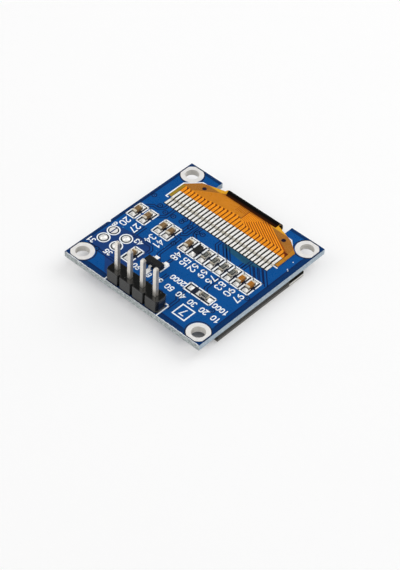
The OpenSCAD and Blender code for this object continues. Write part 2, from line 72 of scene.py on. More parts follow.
# Farther out than any part, in millimetres
FAR = 50.0
# The chips that share one printed outline, from left to right
ROW = ["capacitor_5", "diode", *(f"resistor_{i}" for i in range(1, 5)), "capacitor_6",
       "capacitor_7"]

Colour = tuple[float, float, float]
Spot = tuple[float, float]
Place = tuple[float, float, float]
Socket = bpy.types.NodeSocket
# What a socket can be fed with
Feed = Socket | float | Sequence[float]


def linear(colour: Colour) -> tuple[float, float, float, float]:
    """Turns a screen colour, 0 to 255, into the renderer's linear colour with an alpha of 1."""
    shares = [c / 255 for c in colour]
    return (*[s / 12.92 if s <= 0.04045 else ((s + 0.055) / 1.055) ** 2.4 for s in shares], 1.0)


def box_mm(node: str) -> tuple[Vector, Vector]:
    """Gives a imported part's lowest and highest corners in millimetres."""
    low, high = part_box(node)
    return low / MM, high / MM


def middle(node: str) -> Vector:
    """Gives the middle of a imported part's box in millimetres."""
    low, high = box_mm(node)
    return (low + high) / 2


def arc(centre: Spot, radius: float, start: float, end: float, steps: int = 10) -> list[Spot]:
    """Lists points along an arc.

    Args:
        centre: The arc's centre.
        radius: The arc's radius.
        start: First angle in degrees, counted from +X towards +Y.
        end: Last angle in degrees.
        steps: Number of stretches between the points.

    Returns:
        The points, both ends included.
    """
    turns = [math.radians(start + (end - start) * i / steps) for i in range(steps + 1)]
    return [(centre[0] + radius * math.cos(t), centre[1] + radius * math.sin(t)) for t in turns]


def offset(path: list[Spot], distance: float, closed: bool = False) -> list[Spot]:
    """Moves a path sideways to its left, with mitred corners.

    Args:
        path: The points to follow.
        distance: How far to move it.
        closed: Whether the last point joins the first.

    Returns:
        One moved point for each point of the path.
    """
    count = len(path)
    moved = []
    for i, (x, y) in enumerate(path):
        normals = []
        for a, b in ((i - 1, i), (i, i + 1)):
            if closed or (a >= 0 and b < count):
                start, end = Vector(path[a % count]), Vector(path[b % count])
                along = (end - start).normalized()
                normals.append(Vector((-along.y, along.x)))
        mitre = normals[0] + normals[-1]
        mitre *= distance / max(1 + normals[0].dot(normals[-1]), 0.3)
        moved.append((x + mitre.x, y + mitre.y))
    return moved


def rectangle(x0: float, y0: float, x1: float, y1: float) -> list[Spot]:
    """Lists a rectangle's corners counter-clockwise, from two opposite ones."""
    return [(x0, y0), (x1, y0), (x1, y1), (x0, y1)]


# ---- shared shader effects ----


class Graph:
    """Adds nodes to one material's or one group's tree and links them."""

    def __init__(self, tree: bpy.types.NodeTree) -> None:
        """Keeps the tree that the nodes go to."""
        self.tree = tree

    def node(self, kind: str, **settings: str | bool | bpy.types.NodeTree) -> bpy.types.Node:
        """Adds a node.

        Args:
            kind: The node's type name.
            **settings: Properties to set on it.

        Returns:
            The new node.
        """
        made = self.tree.nodes.new(kind)
        for name, value in settings.items():
            setattr(made, name, value)
        return made

    def feed(self, socket: Socket, value: Feed) -> None:
        """Links a socket into another, or sets its value."""
        if isinstance(value, Socket):
            self.tree.links.new(value, socket)
        else:
            socket.default_value = value

    def maths(self, operation: str, first: Feed, second: Feed = 0.0) -> Socket:
        """Adds a Math node on one or two values and returns its result."""
        made = self.node("ShaderNodeMath", operation=operation)
        self.feed(made.inputs[0], first)
        self.feed(made.inputs[1], second)
        return made.outputs[0]

    def span(self, value: Feed, low: float, high: float, start: float = 0.0,
             end: float = 1.0) -> Socket:
        """Maps a value from one range to another and holds it at both ends.

        Args:
            value: The value to map.
            low: Value that maps to start.
            high: Value that maps to end.
            start: Result at the low value.
            end: Result at the high value.

        Returns:
            The mapped value.
        """
        made = self.node("ShaderNodeMapRange", clamp=True)
        for name, given in (("Value", value), ("From Min", low), ("From Max", high),
                            ("To Min", start), ("To Max", end)):
            self.feed(made.inputs[name], given)
        return made.outputs["Result"]

    def mix(self, share: Feed, first: Feed, second: Feed, colours: bool = True) -> Socket:
        """Mixes two colours or two values.

        Args:
            share: Share of the second one.
            first: The first one or its socket.
            second: The second one or its socket.
            colours: Whether they are colours.

        Returns:
            The mixture.
        """
        made = self.node("ShaderNodeMix", data_type="RGBA" if colours else "FLOAT")
        start, result = (6, 2) if colours else (2, 0)
        self.feed(made.inputs[0], share)
        self.feed(made.inputs[start], first)
        self.feed(made.inputs[start + 1], second)
        return made.outputs[result]

    def place(self, stretch: Place = (1.0, 1.0, 1.0)) -> Socket:
        """Gives the object's own coordinates in millimetres.

        Args:
            stretch: Factor along each axis, under 1 to draw a pattern out.

        Returns:
            The coordinates as a vector.
        """
        where = self.node("ShaderNodeTexCoord")
        scaled = self.node("ShaderNodeVectorMath", operation="MULTIPLY")
        self.feed(scaled.inputs[0], where.outputs["Object"])
        self.feed(scaled.inputs[1], [s / MM for s in stretch])
        return scaled.outputs[0]

    def parts(self, vector: Socket) -> tuple[Socket, ...]:
        """Splits a vector into its three values."""
        made = self.node("ShaderNodeSeparateXYZ")
        self.feed(made.inputs[0], vector)
        return tuple(made.outputs)

    def effect(self, effect: "Effect", **values: Feed) -> Socket:
        """Places a shared effect with its own values and returns its result."""
        made = self.node("ShaderNodeGroup", node_tree=effect.tree())
        for name, value in values.items():
            self.feed(made.inputs[name], value)
        return made.outputs[0]

    def bump(self, height: Feed, depth: float) -> Socket:
        """Turns a height from 0 to 1 into a normal.

        Args:
            height: The height's socket.
            depth: Height in millimetres that 1 stands for.

        Returns:
            The changed normal.
        """
        made = self.node("ShaderNodeBump")
        self.feed(made.inputs["Strength"], 1.0)
        self.feed(made.inputs["Distance"], depth * MM)
        self.feed(made.inputs["Height"], height)
        return made.outputs["Normal"]


class Effect:
    """A shader group that several finishes share. It is built when it is first placed."""

    name = "effect"
    inputs: tuple[tuple[str, str], ...] = ()
    output = ("Value", "NodeSocketFloat")

    def tree(self) -> bpy.types.NodeTree:
        """Gives the group's tree, and builds it the first time."""
        found = bpy.data.node_groups.get(self.name)
        if found:
            return found
        made = bpy.data.node_groups.new(self.name, "ShaderNodeTree")
        for name, kind in self.inputs:
            made.interface.new_socket(name=name, in_out="INPUT", socket_type=kind)
        made.interface.new_socket(name=self.output[0], in_out="OUTPUT", socket_type=self.output[1])
        graph = Graph(made)
        given = graph.node("NodeGroupInput").outputs
        result = self.wire(graph, given)
        graph.feed(graph.node("NodeGroupOutput").inputs[0], result)
        return made

    def wire(self, graph: Graph, given: bpy.types.NodeOutputs) -> Socket:
        """Adds the group's nodes and returns the socket that it puts out."""
        raise NotImplementedError


class Grain(Effect):
    """Fine uneven height, as on moulded, cast or printed surfaces."""

    name = "fine_grain"
    inputs = (("Vector", "NodeSocketVector"), ("Scale", "NodeSocketFloat"))

    def wire(self, graph: Graph, given: bpy.types.NodeOutputs) -> Socket:
        """Adds coarse and fine noise together."""
        total = None
        for ratio, weight in ((1.0, 0.65), (4.3, 0.35)):
            noise = graph.node("ShaderNodeTexNoise")
            graph.feed(noise.inputs["Vector"], given["Vector"])
            graph.feed(noise.inputs["Scale"], graph.maths("MULTIPLY", given["Scale"], ratio))
            graph.feed(noise.inputs["Detail"], 3.0)
            part = graph.maths("MULTIPLY", noise.outputs["Fac"], weight)
            total = part if total is None else graph.maths("ADD", total, part)
        return total


class Mottle(Effect):
    """A colour that is lighter and darker in soft patches."""

    name = "mottled_colour"
    inputs = (("Vector", "NodeSocketVector"), ("Scale", "NodeSocketFloat"),
              ("Colour", "NodeSocketColor"), ("Spread", "NodeSocketFloat"))
    output = ("Colour", "NodeSocketColor")

    def wire(self, graph: Graph, given: bpy.types.NodeOutputs) -> Socket:
        """Varies the colour's brightness with noise."""
        noise = graph.node("ShaderNodeTexNoise")
        graph.feed(noise.inputs["Vector"], given["Vector"])
        graph.feed(noise.inputs["Scale"], given["Scale"])
        graph.feed(noise.inputs["Detail"], 4.0)
        swing = graph.span(noise.outputs["Fac"], 0.3, 0.7, -1.0, 1.0)
        value = graph.maths("ADD", 1.0, graph.maths("MULTIPLY", swing, given["Spread"]))
        shade = graph.node("ShaderNodeHueSaturation")
        graph.feed(shade.inputs["Value"], value)
        graph.feed(shade.inputs["Color"], given["Colour"])
        return shade.outputs["Color"]


class Specks(Effect):
    """Scattered round specks, such as dust, pinholes or pits."""

    name = "scattered_specks"
    inputs = (("Vector", "NodeSocketVector"), ("Scale", "NodeSocketFloat"),
              ("Share", "NodeSocketFloat"), ("Size", "NodeSocketFloat"))

    def wire(self, graph: Graph, given: bpy.types.NodeOutputs) -> Socket:
        """Keeps a share of the cells and puts a dot in the middle of each."""
        cells = graph.node("ShaderNodeTexVoronoi")
        graph.feed(cells.inputs["Vector"], given["Vector"])
        graph.feed(cells.inputs["Scale"], given["Scale"])
        draw = graph.node("ShaderNodeSeparateColor")
        graph.feed(draw.inputs[0], cells.outputs["Color"])
        kept = graph.maths("LESS_THAN", draw.outputs[0], given["Share"])
        reach = graph.maths("MULTIPLY", given["Size"], draw.outputs[1])
        near = graph.maths("SUBTRACT", reach, cells.outputs["Distance"])
        return graph.maths("MULTIPLY", graph.span(near, 0.0, 0.06), kept)


class Streaks(Effect):
    """Long thin scratches or drawing lines. The vector is squeezed along their direction."""

    name = "drawn_streaks"
    inputs = (("Vector", "NodeSocketVector"), ("Scale", "NodeSocketFloat"))

    def wire(self, graph: Graph, given: bpy.types.NodeOutputs) -> Socket:
        """Sharpens stretched noise into lines."""
        noise = graph.node("ShaderNodeTexNoise")
        graph.feed(noise.inputs["Vector"], given["Vector"])
        graph.feed(noise.inputs["Scale"], given["Scale"])
        graph.feed(noise.inputs["Detail"], 5.0)
        graph.feed(noise.inputs["Roughness"], 0.7)
        return graph.span(noise.outputs["Fac"], 0.35, 0.65)


class Window(Effect):
    """A mask that is 1 inside a box and fades to 0 at its faces."""

    name = "window_mask"
    inputs = (("Vector", "NodeSocketVector"), ("Low", "NodeSocketVector"),
              ("High", "NodeSocketVector"), ("Soft", "NodeSocketFloat"))

    def wire(self, graph: Graph, given: bpy.types.NodeOutputs) -> Socket:
        """Takes the least depth inside the box's faces."""
        depth = None
        for first, second in (("Vector", "Low"), ("High", "Vector")):
            gap = graph.node("ShaderNodeVectorMath", operation="SUBTRACT")
            graph.feed(gap.inputs[0], given[first])
            graph.feed(gap.inputs[1], given[second])
            for part in graph.parts(gap.outputs[0]):
                depth = part if depth is None else graph.maths("MINIMUM", depth, part)
        share = graph.node("ShaderNodeMath", operation="DIVIDE", use_clamp=True)
        graph.feed(share.inputs[0], depth)
        graph.feed(share.inputs[1], given["Soft"])
        return share.outputs[0]


class Plies(Effect):
    """Layers of glass cloth that show at a cut edge."""

    name = "cloth_plies"
    inputs = (("Vector", "NodeSocketVector"), ("Pitch", "NodeSocketFloat"))

    def wire(self, graph: Graph, given: bpy.types.NodeOutputs) -> Socket:
        """Draws wavy bands along the height, broken up by noise."""
        z = graph.parts(given["Vector"])[2]
        noise = graph.node("ShaderNodeTexNoise")
        graph.feed(noise.inputs["Vector"], given["Vector"])
        graph.feed(noise.inputs["Scale"], 2.2)
        graph.feed(noise.inputs["Detail"], 3.0)
        height = graph.maths("ADD", z, graph.maths("MULTIPLY", noise.outputs["Fac"], 0.25))
        turns = graph.maths("DIVIDE", graph.maths("MULTIPLY", height, math.tau), given["Pitch"])
        return graph.span(graph.maths("SINE", turns), -1.0, 1.0)


# ---- finishes ----


@dataclass(frozen=True)
class Finish:
    """The finish of a surface with grain, patches and specks.

    Attributes:
        name: The material's name.
        colour: Main colour, 0 to 255.
        spread: How much lighter and darker the patches are.
        patch: Patches for each millimetre.
        roughness: Mean roughness.
        uneven: How far the roughness swings.
        grain: Grains for each millimetre.
        depth: Height of the grain in millimetres.
        metal: 1 on metal and 0 elsewhere.
        gloss: Specular level.
        coat: Weight of a clear coat.
        coat_roughness: Roughness of that coat.
        speck_colour: Colour of the specks.
        speck_share: Share of cells that hold a speck.
        speck_scale: Speck cells for each millimetre.
        stretch: Factor along each axis for the grain.
    """

    name: str
    colour: Colour
    spread: float = 0.08
    patch: float = 1.0
    roughness: float = 0.5
    uneven: float = 0.1
    grain: float = 12.0
    depth: float = 0.003
    metal: float = 0.0
    gloss: float = 0.5
    coat: float = 0.0
    coat_roughness: float = 0.12
    speck_colour: Colour = (255, 255, 255)
    speck_share: float = 0.0
    speck_scale: float = 6.0
    stretch: Place = (1.0, 1.0, 1.0)

    def material(self) -> bpy.types.Material:
        """Gives the finish's material, and makes it the first time."""
        name = f"finish_{self.name}"
        found = bpy.data.materials.get(name)
        if found:
            return found
        made = bpy.data.materials.new(name)
        made.use_nodes = True
        made.node_tree.nodes.clear()
        graph = Graph(made.node_tree)
        shader = graph.node("ShaderNodeBsdfPrincipled")
        graph.feed(graph.node("ShaderNodeOutputMaterial").inputs["Surface"], shader.outputs[0])
        shader.inputs["Metallic"].default_value = self.metal
        shader.inputs["Specular IOR Level"].default_value = self.gloss
        shader.inputs["Coat Weight"].default_value = self.coat
        shader.inputs["Coat Roughness"].default_value = self.coat_roughness
        self.paint(graph, shader.inputs)
        return made

    def paint(self, graph: Graph, shader: bpy.types.NodeInputs) -> None:
        """Feeds the shader's colour, roughness and normal.

        Args:
            graph: The material's nodes.
            shader: The shader's input sockets.
        """
        where = graph.place(self.stretch)
        grain = graph.effect(Grain(), Vector=where, Scale=self.grain)
        graph.feed(shader["Base Color"], self.tint(graph, where))
        low, high = self.roughness - self.uneven, self.roughness + self.uneven
        graph.feed(shader["Roughness"], graph.span(grain, 0.35, 0.65, low, high))
        graph.feed(shader["Normal"], graph.bump(grain, self.depth))

    def tint(self, graph: Graph, where: Socket) -> Socket:
        """Gives the surface's colour with its patches and specks."""
        colour = graph.effect(Mottle(), Vector=where, Scale=self.patch,
                              Colour=linear(self.colour), Spread=self.spread)
        if not self.speck_share:
            return colour
        specks = graph.effect(Specks(), Vector=where, Scale=self.speck_scale,
                              Share=self.speck_share, Size=0.5)
        return graph.mix(specks, colour, linear(self.speck_colour))


@dataclass(frozen=True)
class DrawnMetal(Finish):
    """Metal with drawing lines along one axis, which also stain it a little.

    Attributes:
        line_colour: Colour in the drawing lines.
        line_share: Most of the line colour that shows.
        painted_side_shade: Share of the line colour laid all over the two faces across X, as
            painted shade.
    """

    metal: float = 1.0
    line_colour: Colour = (150, 145, 135)
    line_share: float = 0.35
    painted_side_shade: float = 0.0

    def paint(self, graph: Graph, shader: bpy.types.NodeInputs) -> None:
        """Feeds the shader with streaks over the patches, and painted shade on the faces across X.
        """
        where = graph.place(self.stretch)
        streaks = graph.effect(Streaks(), Vector=where, Scale=self.grain)
        tint = self.tint(graph, graph.place())
        # Painted shade: the faces across X take more of the line colour.
        normal = graph.node("ShaderNodeTexCoord").outputs["Normal"]
        side = graph.span(graph.maths("ABSOLUTE", graph.parts(normal)[0]), 0.5, 0.9,
                          0.0, self.painted_side_shade)
        share = graph.maths("ADD", graph.maths("MULTIPLY", streaks, self.line_share), side)
        graph.feed(shader["Base Color"], graph.mix(share, tint, linear(self.line_colour)))
        low, high = self.roughness - self.uneven, self.roughness + self.uneven
        graph.feed(shader["Roughness"], graph.span(streaks, 0.0, 1.0, low, high))
        graph.feed(shader["Normal"], graph.bump(streaks, self.depth))


@dataclass(frozen=True)
class MaskedLaminate(Finish):
    """Glass-fibre board under solder mask, with bare plies at its cut edges.

    Attributes:
        edge_colour: Resin at the cut edges.
        fibre_colour: Glass cloth at the cut edges.
        ply_colour: Lines that the plies draw along the cut edges.
        ply_pitch: Height of one ply.
        sawn_colour: Resin at the snapped header edge.
        rubbed_colour: Dirt rubbed into that edge.
        sawn_high: Highest corner of the zone that holds that edge.
        cut_roughness: Roughness of the cut edges.
        cut_height: Height of the plies at the cut edges, as a share of the depth.
        copper_low: Lowest corner of the copper under the mask.
        copper_high: Highest corner of the copper under the mask.
        copper_soft: Width of the copper's edge under the mask.
        bare_colour: Mask where there is no copper under it.
    """

    edge_colour: Colour = (200, 216, 228)
    fibre_colour: Colour = (150, 172, 190)
    ply_colour: Colour = (226, 232, 234)
    ply_pitch: float = 0.2
    sawn_colour: Colour = (226, 232, 232)
    rubbed_colour: Colour = (112, 124, 124)
    sawn_high: Place = (FAR, -FAR, FAR)
    cut_roughness: float = 0.75
    cut_height: float = 1.6
    copper_low: Place = (-FAR, -FAR, -FAR)
    copper_high: Place = (FAR, FAR, FAR)
    copper_soft: float = 0.12
    bare_colour: Colour = (6, 50, 100)

    def paint(self, graph: Graph, shader: bpy.types.NodeInputs) -> None:
        """Feeds the mask's colour to both faces and the plies' to the edges."""
        where = graph.place()
        copper = graph.effect(Window(), Vector=where, Low=self.copper_low,
                              High=self.copper_high, Soft=self.copper_soft)
        mask = graph.mix(copper, linear(self.bare_colour), self.tint(graph, where))
        plies = graph.effect(Plies(), Vector=where, Pitch=self.ply_pitch)
        dust = graph.effect(Grain(), Vector=graph.place((1.0, 1.0, 3.0)), Scale=3.0)
        resin = graph.mix(graph.span(dust, 0.4, 0.62), linear(self.edge_colour),
                          linear(self.fibre_colour))
        chips = graph.effect(Streaks(), Vector=graph.place((0.5, 1.0, 1.5)), Scale=3.5)
        sawn = graph.effect(Window(), Vector=where, Low=(-FAR, -FAR, -FAR),
                            High=self.sawn_high, Soft=0.05)
        rubbed = graph.mix(chips, linear(self.rubbed_colour), linear(self.sawn_colour))
        resin = graph.mix(sawn, resin, rubbed)
        cut = graph.mix(graph.maths("MULTIPLY", plies, 0.35), resin, linear(self.ply_colour))
        normal = graph.node("ShaderNodeTexCoord").outputs["Normal"]
        flat = graph.span(graph.maths("ABSOLUTE", graph.parts(normal)[2]), 0.5, 0.8)
        graph.feed(shader["Base Color"], graph.mix(flat, cut, mask))
        grain = graph.effect(Grain(), Vector=where, Scale=self.grain)
        low, high = self.roughness - self.uneven, self.roughness + self.uneven
        satin = graph.span(grain, 0.35, 0.65, low, high)
        graph.feed(shader["Roughness"], graph.mix(flat, self.cut_roughness, satin, False))
        height = graph.maths("ADD", graph.maths("MULTIPLY", grain, 0.3), copper)
        cut_height = graph.maths("MULTIPLY", graph.maths("ADD", plies, chips), self.cut_height)
        level = graph.mix(flat, cut_height, height, False)
        graph.feed(shader["Normal"], graph.bump(level, self.depth))


@dataclass(frozen=True)
class Zone:
    """A box in which a finish has another colour.

    Attributes:
        colour: The colour inside it.
        low: Lowest corner in millimetres.
        high: Highest corner in millimetres.
        soft: Distance over which the colour comes in.
    """

    colour: Colour
    low: Place = (-FAR, -FAR, -FAR)
    high: Place = (FAR, FAR, FAR)
    soft: float = 0.1


@dataclass(frozen=True)
class Zoned(Finish):
    """A finish whose colour changes by place.

    Attributes:
        zones: Boxes with their own colour, the last one on top.
    """

    zones: tuple[Zone, ...] = ()

    def tint(self, graph: Graph, where: Socket) -> Socket:
        """Gives the surface's colour with each zone laid over it."""
        colour = super().tint(graph, where)
        place = graph.place()
        for zone in self.zones:
            inside = graph.effect(Window(), Vector=place, Low=zone.low, High=zone.high,
                                  Soft=zone.soft)
            patch = graph.effect(Mottle(), Vector=place, Scale=self.patch,
                                 Colour=linear(zone.colour), Spread=self.spread)
            colour = graph.mix(inside, colour, patch)
        return colour


@dataclass(frozen=True)
class StudioFloor(Finish):
    """White paper that stays white to the camera and keeps the shadow.

    Attributes:
        lift: Light that only the camera and mirror rays see.
        under: Half the width of the stretch below the module that has none of it.
        fade: Distance over which it comes back.
    """

    lift: float = 0.285
    under: float = 12.8
    fade: float = 1.5

    def paint(self, graph: Graph, shader: bpy.types.NodeInputs) -> None:
        """Feeds paper grain, and a faint glow on camera, mirror and glass rays."""
        super().paint(graph, shader)
        ray = graph.node("ShaderNodeLightPath").outputs
        seen = graph.maths("MAXIMUM", ray["Is Camera Ray"],
                           graph.maths("MAXIMUM", ray["Is Glossy Ray"], ray["Is Transmission Ray"]))
        shader["Emission Color"].default_value = (1.0, 1.0, 1.0, 1.0)
        below = graph.effect(Window(), Vector=graph.place(), Low=(-self.under, -self.under, -FAR),
                             High=(self.under, self.under, FAR), Soft=self.fade)
        lift = graph.span(below, 0.0, 1.0, self.lift, 0.0)
        graph.feed(shader["Emission Strength"], graph.maths("MULTIPLY", seen, lift))


# ---- mesh building ----


class Shape:
    """Points and faces of one piece in millimetres. Each face holds the number of its finish."""

    def __init__(self) -> None:
        """Starts with nothing."""
        self.points: list[Place] = []
        self.faces: list[tuple[int, ...]] = []
        self.numbers: list[int] = []

    def add(self, points: list[Place], faces: list[tuple[int, ...]], number: int = 0) -> None:
        """Adds points and the faces between them.

        Args:
            points: New points.
            faces: Faces as places in the list of new points.
            number: The faces' finish.
        """
        start = len(self.points)
        self.points += points
        self.faces += [tuple(start + i for i in face) for face in faces]
        self.numbers += [number] * len(faces)

    def join(self, other: "Shape") -> None:
        """Adds another shape with its own finishes."""
        self.add(other.points, other.faces)
        self.numbers[-len(other.faces):] = other.numbers

    def loft(self, rings: list[list[Place]], number: int = 0) -> None:
        """Joins loops of equal length into a closed skin with a cap at both ends.

        Args:
            rings: The loops, each counter-clockwise seen from the last one's side.
            number: The faces' finish.
        """
        size = len(rings[0])
        points = [point for ring in rings for point in ring]
        faces = [tuple(range(size - 1, -1, -1)),
                 tuple(range(size * (len(rings) - 1), size * len(rings)))]
        for i in range(len(rings) - 1):
            for j in range(size):
                k = (j + 1) % size
                faces.append((i * size + j, i * size + k, (i + 1) * size + k, (i + 1) * size + j))
        self.add(points, faces, number)

    def prism(self, outline: list[Spot], low: float, high: float, number: int = 0,
              shoulder: float = 0.0) -> None:
        """Raises an outline into a plate.

        Args:
            outline: The outline, counter-clockwise.
            low: Height of the lower face.
            high: Height of the upper face.
            number: The faces' finish.
            shoulder: Width of the bevel round the upper face.
        """
        inner = offset(outline, shoulder, closed=True) if shoulder else outline
        rings = [[(x, y, low) for x, y in outline]]
        if shoulder:
            rings.append([(x, y, high - shoulder * 0.6) for x, y in outline])
        rings.append([(x, y, high) for x, y in inner])
        self.loft(rings, number)

    def band(self, outer: list[Spot], inner: list[Spot], low: float, high: float,
             number: int = 0) -> None:
        """Raises the strip between two loops of equal length.

        Args:
            outer: Outer loop, counter-clockwise.
            inner: Inner loop, counter-clockwise.
            low: Height of the lower face.
            high: Height of the upper face.
            number: The faces' finish.
        """
        size = len(outer)
        loops = [(outer, low), (outer, high), (inner, high), (inner, low)]
        points = [(x, y, z) for loop, z in loops for x, y in loop]
        faces = []
        for i in range(4):
            a, b = i * size, (i + 1) % 4 * size
            faces += [(a + j, a + (j + 1) % size, b + (j + 1) % size, b + j) for j in range(size)]
        self.add(points, faces, number)

    def ring(self, centre: Spot, inner: float, outer: float, low: float, high: float,
             number: int = 0) -> None:
        """Adds a flat round ring between two radii."""
        loops = [arc(centre, r, 0, 360, 48)[:-1] for r in (outer, inner)]
        self.band(loops[0], loops[1], low, high, number)

    def stroke(self, path: list[Spot], width: float, low: float, high: float, number: int = 0,
               closed: bool = False) -> None:
        """Draws a line of even width, with round ends if it is open.

        Args:
            path: The line's middle.
            width: The line's width.
            low: Height of the lower face.
            high: Height of the upper face.
            number: The faces' finish.
            closed: Whether the line joins its own start.
        """
        half = width / 2
        left, right = offset(path, half, closed), offset(path, -half, closed)
        if closed:
            self.band(right, left, low, high, number)
            return
        caps = []
        for end, before in ((path[-1], path[-2]), (path[0], path[1])):
            turn = math.degrees(math.atan2(end[1] - before[1], end[0] - before[0]))
            caps.append(arc(end, half, turn - 90, turn + 90, 6)[1:-1])
        self.prism(right + caps[0] + left[::-1] + caps[1], low, high, number)

    def block(self, low: Place, high: Place, radius: float, number: int = 0,
              steps: int = 3) -> None:
        """Adds a box with rounded edges.

        Args:
            low: Lowest corner.
            high: Highest corner.
            radius: Radius of its edges.
            number: The faces' finish.
            steps: Faces across each rounded edge.
        """
        mesh = bmesh.new()
        bmesh.ops.create_cube(mesh, size=1.0)
        low_v, high_v = Vector(low), Vector(high)
        for vert in mesh.verts:
            vert.co = (low_v + high_v) / 2 + vert.co * (high_v - low_v)
        bmesh.ops.bevel(mesh, geom=mesh.edges[:], offset=radius, segments=steps, profile=0.5,
                        affect="EDGES")
        mesh.verts.index_update()
        points = [tuple(vert.co) for vert in mesh.verts]
        self.add(points, [tuple(v.index for v in face.verts) for face in mesh.faces], number)
        mesh.free()

    def turned(self, quarter_turns: int, about: Spot) -> None:
        """Turns all points by quarter turns about an upright axis."""
        turn = math.radians(90 * quarter_turns)
        cos, sin = round(math.cos(turn)), round(math.sin(turn))
        self.points = [(about[0] + (x - about[0]) * cos - (y - about[1]) * sin,
                        about[1] + (x - about[0]) * sin + (y - about[1]) * cos, z)
                       for x, y, z in self.points]

    def build(self, name: str, finishes: list[Finish], slot: str, smooth: float = 0.0,
              replaces: tuple[str, ...] = ()) -> bpy.types.Object:
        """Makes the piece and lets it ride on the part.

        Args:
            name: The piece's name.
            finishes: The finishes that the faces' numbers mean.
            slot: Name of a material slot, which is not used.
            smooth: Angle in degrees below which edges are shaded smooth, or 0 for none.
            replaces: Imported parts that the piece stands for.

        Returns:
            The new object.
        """
        mesh = bpy.data.meshes.new(name)
        mesh.from_pydata([tuple(c * MM for c in point) for point in self.points], [], self.faces)
        for finish in finishes:
            mesh.materials.append(finish.material())
        mesh.polygons.foreach_set("material_index", self.numbers)
        if smooth:
            mesh.shade_smooth()
            mesh.set_sharp_from_angle(angle=math.radians(smooth))
        mesh.update()
        made = bpy.data.objects.new(name, mesh)
        bpy.context.scene.collection.objects.link(made)
        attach(made, BODY)
        if replaces:
            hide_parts(*replaces)
        LOG.info("built %s: %d faces", name, len(self.faces))
        return made


def dress(node: str, finish: Finish, bevel: float = 0.0) -> None:
    """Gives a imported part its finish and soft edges.

    Args:
        node: The part's name.
        finish: The finish that it gets.
        bevel: Width of the softened edges in millimetres, or 0 to leave them sharp.
    """
    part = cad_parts[node]
    part.material_slots[0].material = finish.material()
    if bevel:
        weld = part.modifiers.new("joined_corners", "WELD")
        weld.merge_threshold = MM * MM
        soft = part.modifiers.new("soft_edges", "BEVEL")
        soft.width = bevel * MM
        soft.segments = 3
        soft.limit_method = "ANGLE"
        soft.angle_limit = math.radians(35)
        soft.harden_normals = True
    LOG.info("dressed %s as %s", node, finish.name)


# ---- the module's own finishes ----

BOARD_LOW, BOARD_HIGH = box_mm("circuit_board")
MASK = MaskedLaminate("blue_solder_mask", (3, 80, 150), spread=0.07, patch=0.3, roughness=0.3,
                      uneven=0.06, grain=5.0, depth=0.005, gloss=0.16,
                      speck_colour=(60, 120, 180), speck_share=0.02, speck_scale=3.0)
BARE_MASK = Finish("mask_without_copper", (26, 62, 122), spread=0.08, patch=0.4,
                   roughness=0.35, grain=5.0, gloss=0.16)
# Greyer mask below the contacts: a painted reflection.
MASK_WITH_PAINTED_REFLECTION = Finish("mask_with_painted_reflection", (30, 82, 112), spread=0.2, patch=0.9,
                   roughness=0.35, grain=5.0, gloss=0.16)
CHANNEL = Finish("mask_over_gap", (6, 34, 82), roughness=0.35, grain=8.0, gloss=0.2)
# Dark mask with no copper under it, made darker still as painted shade round the chips.
KEEPOUT_AND_SHADE = Finish("mask_under_chips_and_shade", (12, 24, 46), roughness=0.45, grain=8.0, gloss=0.3)
INK = Finish("white_print", (248, 252, 255), spread=0.05, patch=3.0, roughness=0.6, uneven=0.1,
             grain=18.0, depth=0.006, gloss=0.3, speck_colour=(150, 178, 210), speck_share=0.05,
             speck_scale=5.0)
PLATING = Zoned("tin_plating", (242, 240, 237), spread=0.04, patch=1.2, roughness=0.5,
                uneven=0.1, grain=7.0, depth=0.006, metal=0.2,
                # The zone is painted shade: it darkens the plating below the board's upper face, on
                # the walls inside the holes.
                zones=(Zone((226, 223, 217), low=(-FAR, -FAR, BOARD_LOW.z + 0.05),
                            high=(FAR, FAR, BOARD_HIGH.z + 0.01), soft=0.04),))
SOLDER = Finish("bright_solder", (248, 247, 243), spread=0.08, patch=2.5, roughness=0.28,
                uneven=0.12, grain=4.0, depth=0.02, metal=0.35, speck_colour=(150, 148, 142),
                speck_share=0.06, speck_scale=3.0)
CONTACT = Finish("tinned_contact", (250, 248, 244), spread=0.07, patch=3.0, roughness=0.45,
                 uneven=0.12, grain=6.0, depth=0.012, metal=0.15, speck_colour=(190, 186, 160),
                 speck_share=0.2, speck_scale=4.0)
# Dark film and adhesive between the contacts, darkened further as painted shade.
GAP_AND_SHADE = Finish("gap_between_contacts_and_shade", (24, 26, 24), roughness=0.5, grain=8.0, gloss=0.2)
PIN = DrawnMetal("pin_metal", (253, 248, 240), spread=0.05, patch=0.8, roughness=0.3,
                 uneven=0.05, grain=3.4, depth=0.0006, metal=0.7, line_share=0.35,
                 line_colour=(112, 104, 92), painted_side_shade=0.45, stretch=(1.0, 1.0, 0.05))
HEADER = Finish("header_plastic", (17, 18, 17), spread=0.15, patch=0.8, roughness=0.2,
                uneven=0.08, grain=10.0, depth=0.003, gloss=0.55,
                speck_colour=(90, 92, 90), speck_share=0.03, speck_scale=5.0)
MOULDING = Finish("chip_moulding", (16, 17, 18), spread=0.2, patch=2.0, roughness=0.45,
                  grain=16.0, depth=0.006, gloss=0.35, speck_colour=(80, 80, 84),
                  speck_share=0.06, speck_scale=8.0)
FLOODED = Finish("flooded_pad", (252, 252, 250), spread=0.03, patch=2.0, roughness=0.5,
                 uneven=0.1, grain=6.0, depth=0.01)
LEAD = Finish("tinned_lead", (244, 242, 238), spread=0.06, roughness=0.35, grain=8.0, metal=0.35)
JOINT = Finish("joint_solder", (214, 209, 196), spread=0.14, patch=4.0, roughness=0.35, grain=6.0,
               depth=0.01, metal=0.3, speck_colour=(120, 118, 100), speck_share=0.25,
               speck_scale=4.0)
CERAMIC = Finish("tan_ceramic", (132, 104, 68), spread=0.26, patch=2.4, roughness=0.42,
                 grain=14.0, depth=0.005, gloss=0.3, speck_colour=(206, 178, 140),
                 speck_share=0.2, speck_scale=9.0)
